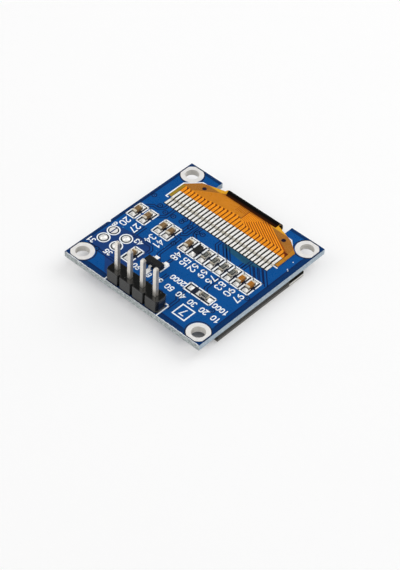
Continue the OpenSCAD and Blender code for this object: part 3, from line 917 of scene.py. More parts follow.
AMBER_CERAMIC = Finish("amber_ceramic", (170, 108, 26), spread=0.18, patch=2.4, roughness=0.4,
                       grain=14.0, depth=0.005, gloss=0.3, speck_colour=(214, 162, 90),
                       speck_share=0.15, speck_scale=9.0)
ALUMINA = Finish("white_alumina", (214, 211, 202), spread=0.05, patch=3.0, roughness=0.6)
OVERGLAZE = Finish("resistor_glaze", (40, 41, 40), spread=0.2, patch=2.4, roughness=0.3,
                   grain=10.0, depth=0.006, gloss=0.4, speck_colour=(120, 120, 112),
                   speck_share=0.1, speck_scale=8.0)
TERMINATION = Zoned("tinned_end_painted_shade", (226, 217, 198), spread=0.14, patch=3.0, roughness=0.4,
                    grain=8.0, depth=0.008, metal=0.3)
MARK = Finish("grey_marking", (164, 166, 158), spread=0.1, patch=4.0, roughness=0.5)
FILM = Zoned("amber_film", (168, 110, 36), spread=0.08, patch=0.6, roughness=0.3, uneven=0.06,
             grain=6.0, depth=0.003, gloss=0.3)
COVERLAY = Zoned("coverlay", (170, 110, 40), spread=0.09, patch=0.5, roughness=0.26,
                 uneven=0.06, grain=6.0, depth=0.004, gloss=0.35)
COPPER_PLANE = Zoned("copper_under_coverlay", (210, 130, 28), spread=0.07, patch=0.5,
                     roughness=0.3, uneven=0.06, grain=3.0, depth=0.002, gloss=0.22)
COPPER_LINE = Zoned("copper_lines_under_coverlay", (250, 154, 26), spread=0.06, patch=1.2,
                    roughness=0.28, uneven=0.08, grain=8.0, depth=0.003, gloss=0.25)
COPPER_GAP = Finish("gap_between_fingers", (104, 38, 4), spread=0.1, roughness=0.45, gloss=0.1)
FINE_GAP = Zoned("gap_between_fine_lines", (164, 78, 6), spread=0.06, roughness=0.4, gloss=0.12)
HOLE_SHADE = Finish("painted_shade_in_film_hole", (30, 22, 42), spread=0.2, patch=3.0, roughness=0.5, gloss=0.2)
DIMPLE = Finish("coverlay_dimple", (206, 104, 22), roughness=0.35)
# The tape's brown is a painted reflection of the amber film; its own black comes in towards the
# fold.
TAPE_WITH_FILM_REFLECTION = Zoned("black_tape", (58, 27, 9), spread=0.15, patch=0.9, roughness=0.6, uneven=0.08,
             grain=12.0, depth=0.006, gloss=0.02, stretch=(0.2, 1.0, 1.0))
POLARIZER = Zoned("front_polarizer", (27, 28, 32), spread=0.06, patch=0.4, roughness=0.1,
                  uneven=0.04, grain=5.0, depth=0.001, gloss=0.5, speck_colour=(70, 72, 78),
                  speck_share=0.03, speck_scale=2.0)
GLASS = Zoned("display_glass", (52, 50, 42), spread=0.12, patch=0.6, roughness=0.12,
              uneven=0.05, grain=6.0, depth=0.002, gloss=0.4, coat=0.2)
COVER = Finish("cover_glass_back", (34, 32, 25), spread=0.14, patch=0.5, roughness=0.3,
               uneven=0.06, grain=6.0, depth=0.002, gloss=0.15)
FOAM = Finish("white_foam_tape", (228, 227, 220), roughness=0.85, grain=14.0, depth=0.02,
              speck_colour=(170, 168, 160), speck_share=0.3, speck_scale=9.0)
SILICON = Finish("bare_silicon", (58, 60, 70), spread=0.2, patch=1.5, roughness=0.16,
                 uneven=0.04, grain=9.0, depth=0.001, metal=0.6)
EMITTER = Finish("emitter_layers", (30, 31, 44), spread=0.1, patch=0.5, roughness=0.25)
RESIN = Finish("seal_resin", (140, 132, 104), spread=0.1, patch=1.5, roughness=0.4)
DESICCANT = Finish("desiccant_sheet", (226, 223, 212), roughness=0.8, grain=10.0, depth=0.01)
TRACK = Finish("clear_conductor", (120, 122, 112), roughness=0.2, metal=0.8)
FLOOR = StudioFloor("studio_paper", (222, 222, 222), spread=0.004, patch=0.02, roughness=0.9,
                    uneven=0.02, grain=0.8, depth=0.0, gloss=0.1)


# ---- numerals ----


class Reading(Enum):
    """Direction in which printed numbers read, as quarter turns from +X."""

    LEFT = 2
    DOWN = 3


def numeral(digit: str) -> list[list[Spot]]:
    """Draws a numeral as pen strokes in a cell 0.6 wide and 1 high.

    Args:
        digit: One numeral.

    Returns:
        The strokes' points.
    """
    curl = arc((0.62, 0.33), 0.6, 112, 180, 5) + arc((0.3, 0.28), 0.28, 170, 540, 16)
    strokes = {
        "0": [arc((0.3, 0.7), 0.28, 0, 180) + arc((0.3, 0.3), 0.28, 180, 360) + [(0.58, 0.7)]],
        "1": [[(0.1, 0.8), (0.34, 1.0), (0.34, 0.0)]],
        "2": [arc((0.3, 0.71), 0.27, 160, -35) + [(0.04, 0.0), (0.6, 0.0)]],
        "3": [arc((0.29, 0.76), 0.24, 150, -75) + arc((0.29, 0.27), 0.27, 75, -150)],
        "4": [[(0.46, 0.0), (0.46, 1.0), (0.0, 0.3), (0.62, 0.3)]],
        "5": [[(0.54, 1.0), (0.1, 1.0), (0.06, 0.5)] + arc((0.28, 0.3), 0.29, 125, -150)],
        "6": [curl],
        "7": [[(0.0, 1.0), (0.58, 1.0), (0.2, 0.0)]],
        "8": [arc((0.3, 0.75), 0.23, 0, 360, 14), arc((0.3, 0.26), 0.27, 0, 360, 14)],
        "9": [[(0.6 - x, 1 - y) for x, y in curl]],
    }
    return strokes[digit]


# ---- board ----


@dataclass
class CircuitBoard:
    """The board, its plated holes and what shows through its solder mask.

    Attributes:
        channel: Width of the gap beside a trace.
        trace: Width of a trace.
        skin: Height of the drawn gaps over the mask.
        stain: Height of the zone without copper and of the painted reflection, over the mask.
        open_inner: Distance from a plated ring to the start of its open ring.
        open_outer: Distance from a plated ring to the end of its open ring.
        rim: Width of mask that is left between an open ring and the board's edge.
        ring_soft: Width of the plated rings' softened edges.
        border_left: Distance from the left edge to the copper's border.
        border_right: Distance from the right edge to it.
        border_near: Distance from the header edge to it.
        copper: Distances from the left, header, right and flex edges to the copper's tint.
        sawn: Depth of the snapped header edge.
        ring_gap: Distance from a ring's middle at which the border stops.
        nick: Distance from the header edge to the middle of the left edge's nick.
        nick_gap: Distance from there at which the border stops.
        via: Radius of a covered via.
        vias: Middles of the vias.
        flakes: Number of resin flakes along the header edge.
        strays: Middles of the flakes that lie loose on the mask.
    """

    channel: float = 0.18
    trace: float = 0.26
    skin: float = 0.005
    stain: float = 0.002
    open_inner: float = 0.1
    open_outer: float = 0.26
    rim: float = 0.03
    ring_soft: float = 0.02
    border_left: float = 0.45
    border_right: float = 0.89
    border_near: float = 0.94
    copper: tuple[float, float, float, float] = (0.5, 0.95, 0.9, 0.55)
    sawn: float = 0.15
    ring_gap: float = 2.15
    nick: float = 9.3
    nick_gap: float = 0.75
    via: float = 0.24
    vias: tuple[Spot, ...] = (
        (-10.35, 3.35), (-8.75, 2.8), (-7.3, 3.0), (-5.65, 3.05), (-5.55, 3.75), (-3.85, 3.05),
        (-2.35, 2.95), (-1.45, 3.2), (-10.6, -10.0), (10.2, -7.4), (2.2, -9.9), (12.1, -2.0),
        (-12.6, 4.4), (-3.3, -1.2))
    flakes: int = 150
    strays: tuple[Spot, ...] = ((12.0, 8.3), (12.6, 6.4), (12.35, 6.6))

    def build(self) -> None:
        """Dresses the board and its rings, and adds the copper's gaps, vias and fray."""
        mask = self.mask()
        dress("circuit_board", mask)
        for i in range(1, 5):
            dress(f"mount_ring_{i}", PLATING, bevel=self.ring_soft)
        self.build_bare_zone()
        self.build_channels()
        self.build_clearances()
        self.build_vias(mask)
        self.build_fray()

    def mask(self) -> MaskedLaminate:
        """Gives the board's finish, with the copper's border and the snapped edge in place."""
        left, near, right, far = self.copper
        return replace(MASK, sawn_high=(FAR, BOARD_LOW.y + self.sawn, FAR),
                       copper_low=(BOARD_LOW.x + left, BOARD_LOW.y + near, -FAR),
                       copper_high=(BOARD_HIGH.x - right, BOARD_HIGH.y - far, FAR))

    def routes(self) -> list[list[Spot]]:
        """Lists the middle lines of the traces that show on the upper face."""
        start = box_mm("board_contacts")[0].y - 0.05
        border = box_mm("capacitor_7")[1].y + 0.85
        slanted = [[(x, y), (x + y - border, border)]
                   for x, y in ((8.1, 3.4), (8.75, 3.65), (9.4, 3.95), (10.0, start), (3.2, 3.7))]
        straight = [[(7.1, 3.0), (7.1, border)], [(7.6, start), (7.6, border)]]
        kinked = [[(1.5, start), (1.5, 3.1), (4.6 - border, border)],
                  [(2.3, start), (2.3, 3.9), (6.2 - border, border)]]
        left_of_row = [
            [(-9.45, start), (-9.45, 3.4), (-10.2, 2.65), (-11.1, 2.65), (-11.95, 1.8)],
            [(-8.05, start), (-8.05, 2.15), (-8.95, 1.25)],
            [(-4.55, start), (-4.2, 3.7), (-4.2, 1.5), (-3.7, 1.0), (-3.2, 1.5), (-3.2, start)],
            [(-2.45, start), (-2.45, 2.5), (-1.6, 1.75)]]
        below_row = [
            [(-1.1, -1.7), (-1.1, -5.0)],
            [(6.4, -1.7), (6.4, -4.6), (6.9, -5.2)],
            [(-4.1, 0.1), (-3.3, 0.1), (-3.3, -4.4), (-2.3, -5.4)],
            [(-8.6, -1.7), (-8.6, -4.0), (-5.2, -4.0), (-4.6, -4.6), (-4.6, -5.4)]]
        by_header = [
            [(-12.7, -10.0), (-10.6, -10.0), (-6.6, -10.0), (-6.6, -9.2)],
            [(4.7, -7.2), (4.7, -8.8), (5.2, -9.3), (5.2, -11.6)],
            [(0.6, -6.6), (0.6, -7.9), (-0.2, -8.7), (-0.2, -10.8)]]
        return slanted + straight + kinked + left_of_row + below_row + by_header

    def build_bare_zone(self) -> None:
        """Adds the darker zone of mask on bare laminate by the jumpers, and a greyer painted
        reflection by the contacts.
        """
        shape = Shape()
        base = BOARD_HIGH.z
        by_jumpers = [(-11.2, -9.9), (-8.8, -10.1), (-6.4, -12.6), (-4.8, -12.6), (-4.4, -9.0),
                      (-4.4, -5.0), (-5.3, -3.9), (-8.7, -3.7), (-10.4, -4.1), (-12.5, -4.3),
                      (-12.9, -8.9), (-12.9, -9.7)]
        shape.prism(by_jumpers, base, base + self.stain)
        front = box_mm("board_contacts")[0].y
        # A painted reflection in the mask below the contacts.
        by_contacts = [(1.9, front), (2.7, 3.35), (4.3, 3.2), (6.8, 3.0), (8.2, 3.2), (9.7, front)]
        shape.prism(by_contacts, base, base + self.stain, 1)
        shape.build("bare_zone", [BARE_MASK, MASK_WITH_PAINTED_REFLECTION], "laminate")

    def build_channels(self) -> None:
        """Draws the gap on both sides of each trace and round the copper's border."""
        shape = Shape()
        base = BOARD_HIGH.z
        for route in self.routes():
            for side in (-1, 1):
                line = offset(route, side * (self.trace + self.channel) / 2)
                shape.stroke(line, self.channel, base, base + self.skin)
        reach = middle("mount_ring_4").x - self.ring_gap
        left, right = BOARD_LOW.x + self.border_left, BOARD_HIGH.x - self.border_right
        near, nick = BOARD_LOW.y + self.border_near, BOARD_LOW.y + self.nick
        for line in ([(-reach, near), (reach, near)], [(right, -reach), (right, reach)],
                     [(left, -reach), (left, nick - self.nick_gap)],
                     [(left, nick + self.nick_gap), (left, reach)]):
            shape.stroke(line, self.channel, base, base + self.skin)
        shape.build("copper_channels", [CHANNEL], "laminate")

    def build_clearances(self) -> None:
        """Draws the open ring round each plated hole, on both faces."""
        shape = Shape()
        left, right = BOARD_LOW.x + self.rim, BOARD_HIGH.x - self.rim
        near, far = BOARD_LOW.y + self.rim, BOARD_HIGH.y - self.rim
        for i in range(1, 5):
            low, high = box_mm(f"mount_ring_{i}")
            centre = middle(f"mount_ring_{i}")
            ring = (high.y - low.y) / 2
            loops = []
            for radius in (ring + self.open_outer, ring + self.open_inner):
                round_loop = arc((centre.x, centre.y), radius, 0, 360, 64)[:-1]
                loops.append([(min(max(x, left), right), min(max(y, near), far))
                              for x, y in round_loop])
            for base, top in ((BOARD_HIGH.z, BOARD_HIGH.z + self.skin),
                              (BOARD_LOW.z - self.skin, BOARD_LOW.z)):
                shape.band(loops[0], loops[1], base, top)
        shape.build("ring_clearances", [KEEPOUT_AND_SHADE], "laminate")

    def build_vias(self, mask: MaskedLaminate) -> None:
        """Adds vias as low rings of mask with a dark middle and a gap round them."""
        shape = Shape()
        base = BOARD_HIGH.z
        gap = self.via + 0.04
        for spot in self.vias:
            shape.ring(spot, gap + 0.02, gap + self.channel, base, base + self.skin, 1)
            shape.ring(spot, self.via * 0.5, self.via, base, base + self.skin * 2.5, 0)
            shape.prism(arc(spot, self.via * 0.55, 0, 360, 16)[:-1], base,
                        base + self.skin * 2.6, 2)
        shape.build("covered_vias", [mask, CHANNEL, KEEPOUT_AND_SHADE], "laminate")

    def build_fray(self) -> None:
        """Adds flakes of white resin and a bruised line along the snapped header edge."""
        shape = Shape()
        draw = Random(7)
        base = BOARD_HIGH.z
        for _ in range(self.flakes):
            x = draw.uniform(BOARD_LOW.x + 0.3, BOARD_HIGH.x - 0.3)
            size = draw.uniform(0.03, 0.09)
            y = BOARD_LOW.y + size * 0.75
            outline = [(x + size * draw.uniform(1.5, 3.0) * math.cos(t),
                        y + size * 0.7 * draw.uniform(0.5, 1.0) * math.sin(t))
                       for t in (math.tau * i / 7 for i in range(7))]
            shape.prism(outline, base, base + draw.uniform(0.01, 0.04))
        bruise = BOARD_LOW.y + 0.04
        shape.stroke([(BOARD_LOW.x + 0.2, bruise), (BOARD_HIGH.x - 0.1, bruise)], 0.07, base,
                     base + 0.008)
        for spot in self.strays:
            shape.prism(arc(spot, 0.09, 0, 360, 8)[:-1], base, base + 0.03)
        shape.build("edge_fray", [INK], "laminate")


# ---- print ----


@dataclass
class BoardPrint:
    """White print on the upper face, with plain numbers in place of any lettering.

    Attributes:
        pen: Width of the outlines.
        fine_pen: Width of the numerals' strokes.
        skin: Thickness of the ink.
        shadow: Height of the dark mask inside an outline.
        side: Distance from a chip's side to its outline.
        end: Distance from a chip's end to its outline.
        wall: Width of a wall between two chips, as a share of the pen.
        mouth: Half the opening in the middle of each wall.
        loose_side: Distance from the side of the chip by the header to its outline.
        loose_wall: Length of that outline's wall pieces.
        number_height: Height of the numerals below the chips.
        label_height: Height of the numerals at the jumpers and pads.
        table_height: Height of the row of numerals by the header.
        base: Height of the board's upper face.
    """

    pen: float = 0.22
    fine_pen: float = 0.19
    skin: float = 0.016
    shadow: float = 0.003
    side: float = 0.44
    end: float = 0.82
    wall: float = 1.35
    mouth: float = 0.24
    loose_side: float = 0.49
    loose_wall: float = 1.35
    number_height: float = 1.12
    label_height: float = 0.85
    table_height: float = 0.92
    base: float = BOARD_HIGH.z

    def build(self) -> None:
        """Builds the outlines, numbers and the border round the flex."""
        self.build_chip_outlines()
        self.build_select_outline()
        self.build_borders()
        self.build_jumper_rings()
        self.build_numbers()

    def line(self, shape: Shape, path: list[Spot], wide: float = 1.0) -> None:
        """Draws one outline stroke into a shape, its width given as a share of the pen."""
        shape.stroke(path, self.pen * wide, self.base, self.base + self.skin)

    def shade(self, shape: Shape, x0: float, y0: float, x1: float, y1: float) -> None:
        """Adds the dark mask inside an outline, given by two of its corners: bare of copper, and
        darkened as painted shade.
        """
        shape.prism(rectangle(x0, y0, x1, y1), self.base, self.base + self.shadow)

    def write(self, shape: Shape, text: str, start: Spot, height: float,
              reading: Reading) -> None:
        """Writes numerals into a shape.

        Args:
            shape: The shape that the strokes go to.
            text: Numerals and blanks.
            start: Lower left corner of the first numeral, as it is read.
            height: Height of the numerals.
            reading: Direction in which they read.
        """
        turn = math.radians(90 * reading.value)
        along, up = (math.cos(turn), math.sin(turn)), (-math.sin(turn), math.cos(turn))
        advance, ply = 0.82, 0.0005
        for i, digit in enumerate(text):
            if digit == " ":
                continue
            for k, stroke in enumerate(numeral(digit)):
                path = [(start[0] + height * (along[0] * (x + advance * i) + up[0] * y),
                         start[1] + height * (along[1] * (x + advance * i) + up[1] * y))
                        for x, y in stroke]
                shape.stroke(path, self.fine_pen, self.base, self.base + self.skin + ply * k)

    def build_chip_outlines(self) -> None:
        """Draws an outline round each upright chip, with shared walls along the row."""
        lines, dark = Shape(), Shape()
        low, high = box_mm("capacitor_5")
        bottom, top = low.y - self.end, high.y + self.end
        centre, half = (low.y + high.y) / 2, (high.x - low.x) / 2 + self.side
        for group in (["capacitor_1"], ["capacitor_2"], ["capacitor_3", "capacitor_4"], ROW):
            xs = [middle(name).x for name in group]
            walls = [xs[0] - half] + [(a + b) / 2 for a, b in zip(xs, xs[1:])] + [xs[-1] + half]
            left, right = walls[0], walls[-1]
            self.line(lines, [(left, bottom), (right, bottom)])
            self.line(lines, [(left, top), (right, top)])
            for x in walls:
                for y0, y1 in ((bottom, centre - self.mouth), (centre + self.mouth, top)):
                    self.line(lines, [(x, y0), (x, y1)], 1.0 if x in (left, right) else self.wall)
            self.shade(dark, left, bottom, right, top)
        low, high = box_mm("capacitor_8")
        left, right = low.x - self.loose_side, high.x + self.loose_side
        bottom, top = low.y - self.end, high.y + self.end
        for x in (left, right):
            self.line(lines, [(x, bottom), (x, bottom + self.loose_wall)])
            self.line(lines, [(x, top - self.loose_wall), (x, top)])
        self.line(lines, [(left, top), (right, top)])
        self.line(lines, [(left, bottom), (right, bottom)])
        self.shade(dark, left, bottom, right, top)
        lines.build("chip_outlines", [INK], "laminate")
        dark.build("chip_keepouts_and_shade", [KEEPOUT_AND_SHADE], "laminate")

    def build_select_outline(self) -> None:
        """Draws the broken outline round the two-place resistor."""
        lines, dark = Shape(), Shape()
        low, high = box_mm("resistor_5")
        left, right = low.x - 2.66, high.x + 0.78
        bottom, top = low.y - self.side, high.y + self.side
        for x in (left, right):
            self.line(lines, [(x, bottom), (x, top)])
        for y in (bottom, top):
            for x0, x1 in ((left, 5.4), (5.75, 7.4), (7.65, right)):
                self.line(lines, [(x0, y), (x1, y)])
        self.shade(dark, left, bottom, right, top)
        lines.build("select_outline", [INK], "laminate")
        dark.build("select_keepout_and_shade", [KEEPOUT_AND_SHADE], "laminate")

    def build_borders(self) -> None:
        """Draws the border beside the flex, the header's corners and the two marks."""
        shape = Shape()
        front = box_mm("flex_contacts")[0].y
        left, right = box_mm("flex_film")[0].x - 0.22, box_mm("flex_coverlay")[1].x - 0.03
        shoulder = front + 5.77
        self.line(shape, [(left + 0.4, front - 0.34), (left, front - 0.34), (left, front + 3.62),
                          (left + 2.07, shoulder), (left + 3.3, shoulder)])
        self.line(shape, [(8.1, shoulder), (8.72, shoulder), (9.82, shoulder - 1.1)])
        self.line(shape, [(right - 0.62, front - 0.2), (right + 0.06, front - 0.2)])
        low, high = box_mm("header_base")
        header_left, header_right, behind = low.x - 0.13, high.x + 0.13, high.y + 0.24
        for x in (header_left, header_right):
            self.line(shape, [(x, low.y - 0.05), (x, behind)])
        self.line(shape, [(header_left, behind), (header_right, behind)])
        self.line(shape, [(-0.54, -6.9), (-0.54, -5.1)])
        half, x, y = 1.15, 7.5, -10.5
        shape.stroke(rectangle(x - half, y - half, x + half, y + half), self.pen, self.base,
                     self.base + self.skin, closed=True)
        self.write(shape, "7", (x + 0.36, y + 0.6), 1.2, Reading.LEFT)
        shape.build("edge_borders", [INK], "laminate")

    def build_jumper_rings(self) -> None:
        """Draws a ring round each solder jumper, over a dark clearance."""
        lines, dark = Shape(), Shape()
        for i in range(1, 5):
            centre = middle(f"jumper_{i}")
            low, high = box_mm(f"jumper_{i}")
            spot, radius = (centre.x, centre.y), (high.x - low.x) / 2
            dark.ring(spot, radius - 0.02, radius + 0.22, self.base, self.base + 0.004)
            lines.ring(spot, radius + 0.2, radius + 0.4, self.base, self.base + self.skin)
        lines.build("jumper_outlines", [INK], "laminate")
        dark.build("jumper_clearances", [KEEPOUT_AND_SHADE], "laminate")

    def build_numbers(self) -> None:
        """Writes plain running numbers where a board has its labels."""
        shape = Shape()
        top = box_mm("capacitor_1")[0].y - self.end - 0.55
        for i, name in enumerate([f"capacitor_{k}" for k in range(1, 5)] + ROW):
            x = middle(name).x + 0.3 - self.number_height / 2
            self.write(shape, str(20 + 7 * i), (x, top), self.number_height, Reading.DOWN)
        self.write(shape, "10 20 30 40 50 60", (12.3, -7.85), self.table_height, Reading.LEFT)
        for text, spot in (("1000", (12.15, -5.95)), ("2000", (3.85, -5.95)),
                           ("80", (-1.0, -8.15)), ("90", (-3.2, -8.15)),
                           ("31", (-11.95, -8.75)), ("35", (-8.25, -8.95)),
                           ("8", (-12.15, -3.95)), ("43", (-6.55, -4.25))):
            self.write(shape, text, spot, self.label_height, Reading.LEFT)
        shape.build("printed_numbers", [INK], "laminate")


# ---- display ----


@dataclass
class Display:
    """The glass stack on the board's lower face.

    Attributes:
        track: Width of a conductor on the glass ledge.
        tracks: Number of conductors on each side of the driver chip.
        skin: Height of a conductor.
        neck: Half the width over which the conductors meet the flex.
        polarizer_soft: Width of the polarizer's softened edges.
        glass_soft: Width of the lower glass's softened edges.
        cover_soft: Width of the upper glass's softened edges.
        chip_soft: Width of the driver chip's softened edges.
    """

    track: float = 0.05
    tracks: int = 36
    skin: float = 0.004
    neck: float = 5.0
    polarizer_soft: float = 0.03
    glass_soft: float = 0.05
    cover_soft: float = 0.04
    chip_soft: float = 0.02

    def build(self) -> None:
        """Dresses the stack and adds the ledge's conductors."""
        dress("polarizer", self.front(), bevel=self.polarizer_soft)
        dress("substrate_glass", self.glass(), bevel=self.glass_soft)
        dress("cover_glass", COVER, bevel=self.cover_soft)
        dress("emitter_film", EMITTER)
        dress("seal_bead", RESIN)
        dress("desiccant_sheet", DESICCANT)
        dress("driver_chip", SILICON, bevel=self.chip_soft)
        for i in (1, 2):
            dress(f"foam_tape_{i}", FOAM)
        self.build_tracks()

    def front(self) -> Zoned:
        """Gives the polarizer's finish, darker in front of the lit area."""
        low, high = box_mm("emitter_film")
        lit = Zone((10, 11, 17), low=(low.x, low.y, -FAR), high=(high.x, high.y, 0.02), soft=0.05)
        return replace(POLARIZER, zones=(lit,))

    def glass(self) -> Zoned:
        """Gives the lower glass's finish, with painted highlights along its lower edge and round
        the ledge.
        """
        low, high = box_mm("substrate_glass")
        cover = box_mm("cover_glass")[1].y
        # Both zones are painted highlights, where the glass edges catch the light.
        front = Zone((196, 192, 178), high=(FAR, FAR, low.z + 0.07), soft=0.04)
        ledge = Zone((226, 223, 216), low=(-FAR, cover + 0.07, low.z + 0.09),
                     high=(FAR, FAR, high.z - 0.04), soft=0.05)
        return replace(GLASS, zones=(front, ledge))

    def build_tracks(self) -> None:
        """Adds the conductors that fan from the driver chip over the ledge."""
        shape = Shape()
        chip_low, chip_high = box_mm("driver_chip")
        cover = box_mm("cover_glass")[1]
        ledge = box_mm("substrate_glass")[1].z
        for i in range(self.tracks):
            share = i / (self.tracks - 1) * 2 - 1
            near, wide = share * (chip_high.x - 0.25), share * (cover.x - 1.2)
            neck = share * self.neck
            bend = cover.y + 0.52 - 0.4 * abs(share)
            for path in ([(near, chip_low.y), (near, bend + 0.1), (wide, cover.y + 0.02)],
                         [(near, chip_high.y), (neck, chip_high.y + 0.55),
                          (neck, chip_high.y + 0.75)]):
                shape.stroke(path, self.track, ledge, ledge + self.skin)
        shape.build("ledge_conductors", [TRACK], "glass_sheet")


# ---- flex ----


@dataclass
class Flex:
    """The folded flex with its copper pattern, contacts and fold tape.

    Attributes:
        pitch: Pitch of the contacts.
        relief: Height of the coverlay over the copper.
        line: Width of a copper finger under the coverlay.
        fine_line: Width of a packed trace.
        fine_pitch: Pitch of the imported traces.
        slope: Rise of the slanting traces for each step along X.
        copper_end: Distance from the board's far edge to the end of the copper in sight.
        hatch: Width of a fine line on the plane.
        hatches: Number of those lines.
        hatch_pitch: Their pitch.
        side: Width of the bare film at both sides.
        neck: Width of the film at the fold.
        wrap: Thickness of the tape over the fold.
        wrap_front: Flat length of the tape above the board.
        wrap_slant: How far the tape's left end leans in at its front edge.
        hole_pitch: Distance between the locating holes.
        hole_rise: Distance from the contacts' tips to the holes.
        hole: Radius of a locating hole.
        film_soft: Width of the film's softened edges.
        contact_soft: Width of the flex contacts' softened edges.
        pad_soft: Width of the board contacts' softened edges.
        low: Lowest corner of the flex's contacts.
        high: Their highest corner.
    """

    pitch: float = 0.7
    relief: float = 0.018
    line: float = 0.5
    fine_line: float = 0.18
    fine_pitch: float = 0.25
    slope: float = 0.56
    copper_end: float = 1.45
    hatch: float = 0.07
    hatches: int = 7
    hatch_pitch: float = 0.27
    side: float = 0.7
    neck: float = 10.7
    wrap: float = 0.06
    wrap_front: float = 0.68
    wrap_slant: float = 0.5
    hole_pitch: float = 16.06
    hole_rise: float = 4.77
    hole: float = 0.375
    film_soft: float = 0.02
    contact_soft: float = 0.015
    pad_soft: float = 0.02
    low: Vector = field(default_factory=lambda: box_mm("flex_contacts")[0])
    high: Vector = field(default_factory=lambda: box_mm("flex_contacts")[1])

    def build(self) -> None:
        """Dresses the flex's layers and adds the copper pattern and solder."""
        sides = self.sides()
        # Painted shade inside the fold's loop, below the board's upper face.
        inside = Zone((34, 22, 10), low=(-FAR, BOARD_HIGH.y - 1.15, -FAR),
                      high=(FAR, FAR, BOARD_HIGH.z - 0.05))
        dress("flex_film", replace(FILM, zones=(*sides, inside)), bevel=self.film_soft)
        dress("flex_coverlay", replace(COVERLAY, zones=sides))
        dress("flex_contacts", CONTACT, bevel=self.contact_soft)
        dress("board_contacts", CONTACT, bevel=self.pad_soft)
        dress("contact_solder", JOINT)
        self.build_copper()
        self.build_gaps()
        self.build_wrap()
        self.build_hole_shade()

    def sides(self) -> tuple[Zone, ...]:
        """Gives the zones of bare film at both sides, and a painted highlight on the neck where the
        film bends.
        """
        edge = box_mm("flex_film")[1].x - self.side
        # The first zone is a painted highlight on the bend's shoulders; the other two are bare
        # film.
        return (Zone((232, 168, 36), low=(-FAR, BOARD_HIGH.y - 2.15, -FAR), soft=0.2),
                Zone((160, 132, 38), high=(-edge, BOARD_HIGH.y - 4.55, FAR), soft=0.15),
                Zone((190, 126, 30), low=(edge, -FAR, -FAR), soft=0.15))

    def darker(self, finish: Zoned, colour: Colour, back: float, soft: float) -> Zoned:
        """Gives a finish that turns darker at this distance from the board's far edge."""
        dark = Zone(colour, low=(-FAR, BOARD_HIGH.y - back, -FAR), soft=soft)
        return replace(finish, zones=(dark,))

    def contact_places(self) -> list[float]:
        """Gives the middle of each contact along X."""
        count = round((self.high.x - self.low.x) / self.pitch + 0.4)
        return [(i - (count - 1) / 2) * self.pitch for i in range(count)]

    def root(self, x: float) -> float:
        """Gives how far a finger reaches along Y before it joins the plane or a fine line.

        Args:
            x: The finger's middle.

        Returns:
            The place along Y, nearer to the contacts in the middle of the flex.
        """
        edge = self.high.y
        if x < -5.6:
            return edge + 1.3
        if x < 0.2:
            return edge + 1.5 + (x + 5.25) / 4.9 * 0.65
        return edge + 1.25 + max(0.0, 1.9 - x) * 0.35

    def build_copper(self) -> None:
        """Builds the fingers, the slanting lines and the plane as relief in the coverlay."""
        shape = Shape()
        places = self.contact_places()
        end = BOARD_HIGH.y - self.copper_end
        self.add_grounds(shape, places, end)
        for i in range(len(places)):
            self.add_finger(shape, places, i, end)
        sheet = self.high.z + self.relief * 0.5
        for k in range(self.hatches):
            x = -1.5 + k * self.hatch_pitch
            shape.stroke([(x, 10.5 + 0.05 * k), (x, end)], self.hatch, sheet, sheet + 0.002, 3)
        # Painted shade: the copper pattern turns darker where the flex curves down into the fold.
        plane = self.darker(COPPER_PLANE, (108, 52, 16), 2.25, 0.9)
        lines = self.darker(COPPER_LINE, (132, 68, 18), 2.45, 0.75)
        gaps = self.darker(FINE_GAP, (92, 44, 14), 2.45, 0.75)
        shape.build("coverlay_relief", [lines, plane, COPPER_GAP, gaps, DIMPLE], "coverlay")

    def add_grounds(self, shape: Shape, places: list[float], end: float) -> None:
        """Adds the dark ground below the fingers, the one below the fine lines, and the plane.

        Args:
            shape: The shape that they go to.
            places: The contacts' middles.
            end: Where the copper goes out of sight, along Y.
        """
        top, edge = self.high.z, self.high.y
        roots = [(x, self.root(x) - 0.05) for x in places]
        first, last = places[0] - self.pitch / 2, places[-1] + self.pitch / 2
        shape.prism([(first, edge), (last, edge), (last, roots[-2][1])]
                    + [(x, y + 0.12) for x, y in reversed(roots[:-1])]
                    + [(first, roots[0][1])], top, top + 0.002, 2)
        shape.prism([(last - 0.55, 9.1), (3.7, end - 0.2), (3.7, end), (0.3, end), (0.3, 9.9),
                     (1.9, 9.05)], top, top + 0.003, 3)
        shape.prism([(-9.3, 9.0), (-5.7, 9.1), (-5.2, 9.3), (-0.3, 9.9), (0.25, 9.95),
                     (0.25, end), (-4.7, end), (-8.6, 9.6)], top, top + self.relief * 0.5, 1)

    def add_finger(self, shape: Shape, places: list[float], i: int, end: float) -> None:
        """Adds one finger with its dimple and, on the right half, its fine line to the fold.

        Args:
            shape: The shape that they go to.
            places: The contacts' middles.
            i: The finger's number from the left.
            end: Where the copper goes out of sight, along Y.
        """
        x, half = places[i], self.line / 2
        top, edge = self.high.z, self.high.y
        ridge = top + self.relief
        root = self.root(x) - (0.6 if i == len(places) - 1 else 0.0)
        shape.prism([(x - half, edge + 0.02), (x + half, edge + 0.02), (x + half, root - 0.25),
                     (x - half * 0.1, root + 0.12), (x - half, root + 0.16)], top, ridge)
        shape.prism(arc((x, edge + 0.6), 0.07, 0, 360, 10)[:-1], ridge, ridge + 0.002, 4)
        if 0.2 < x < places[-1] - 0.1:
            target = 0.55 + self.fine_pitch * (i - len(places) / 2)
            rise = root + self.slope * (x - target)
            path = [(x + half * 0.3, root - 0.1), (target, min(rise, end - 0.05))]
            if rise < end - 0.1:
                path.append((target, end))
            shape.stroke(path, self.fine_line, top, ridge - 0.003)

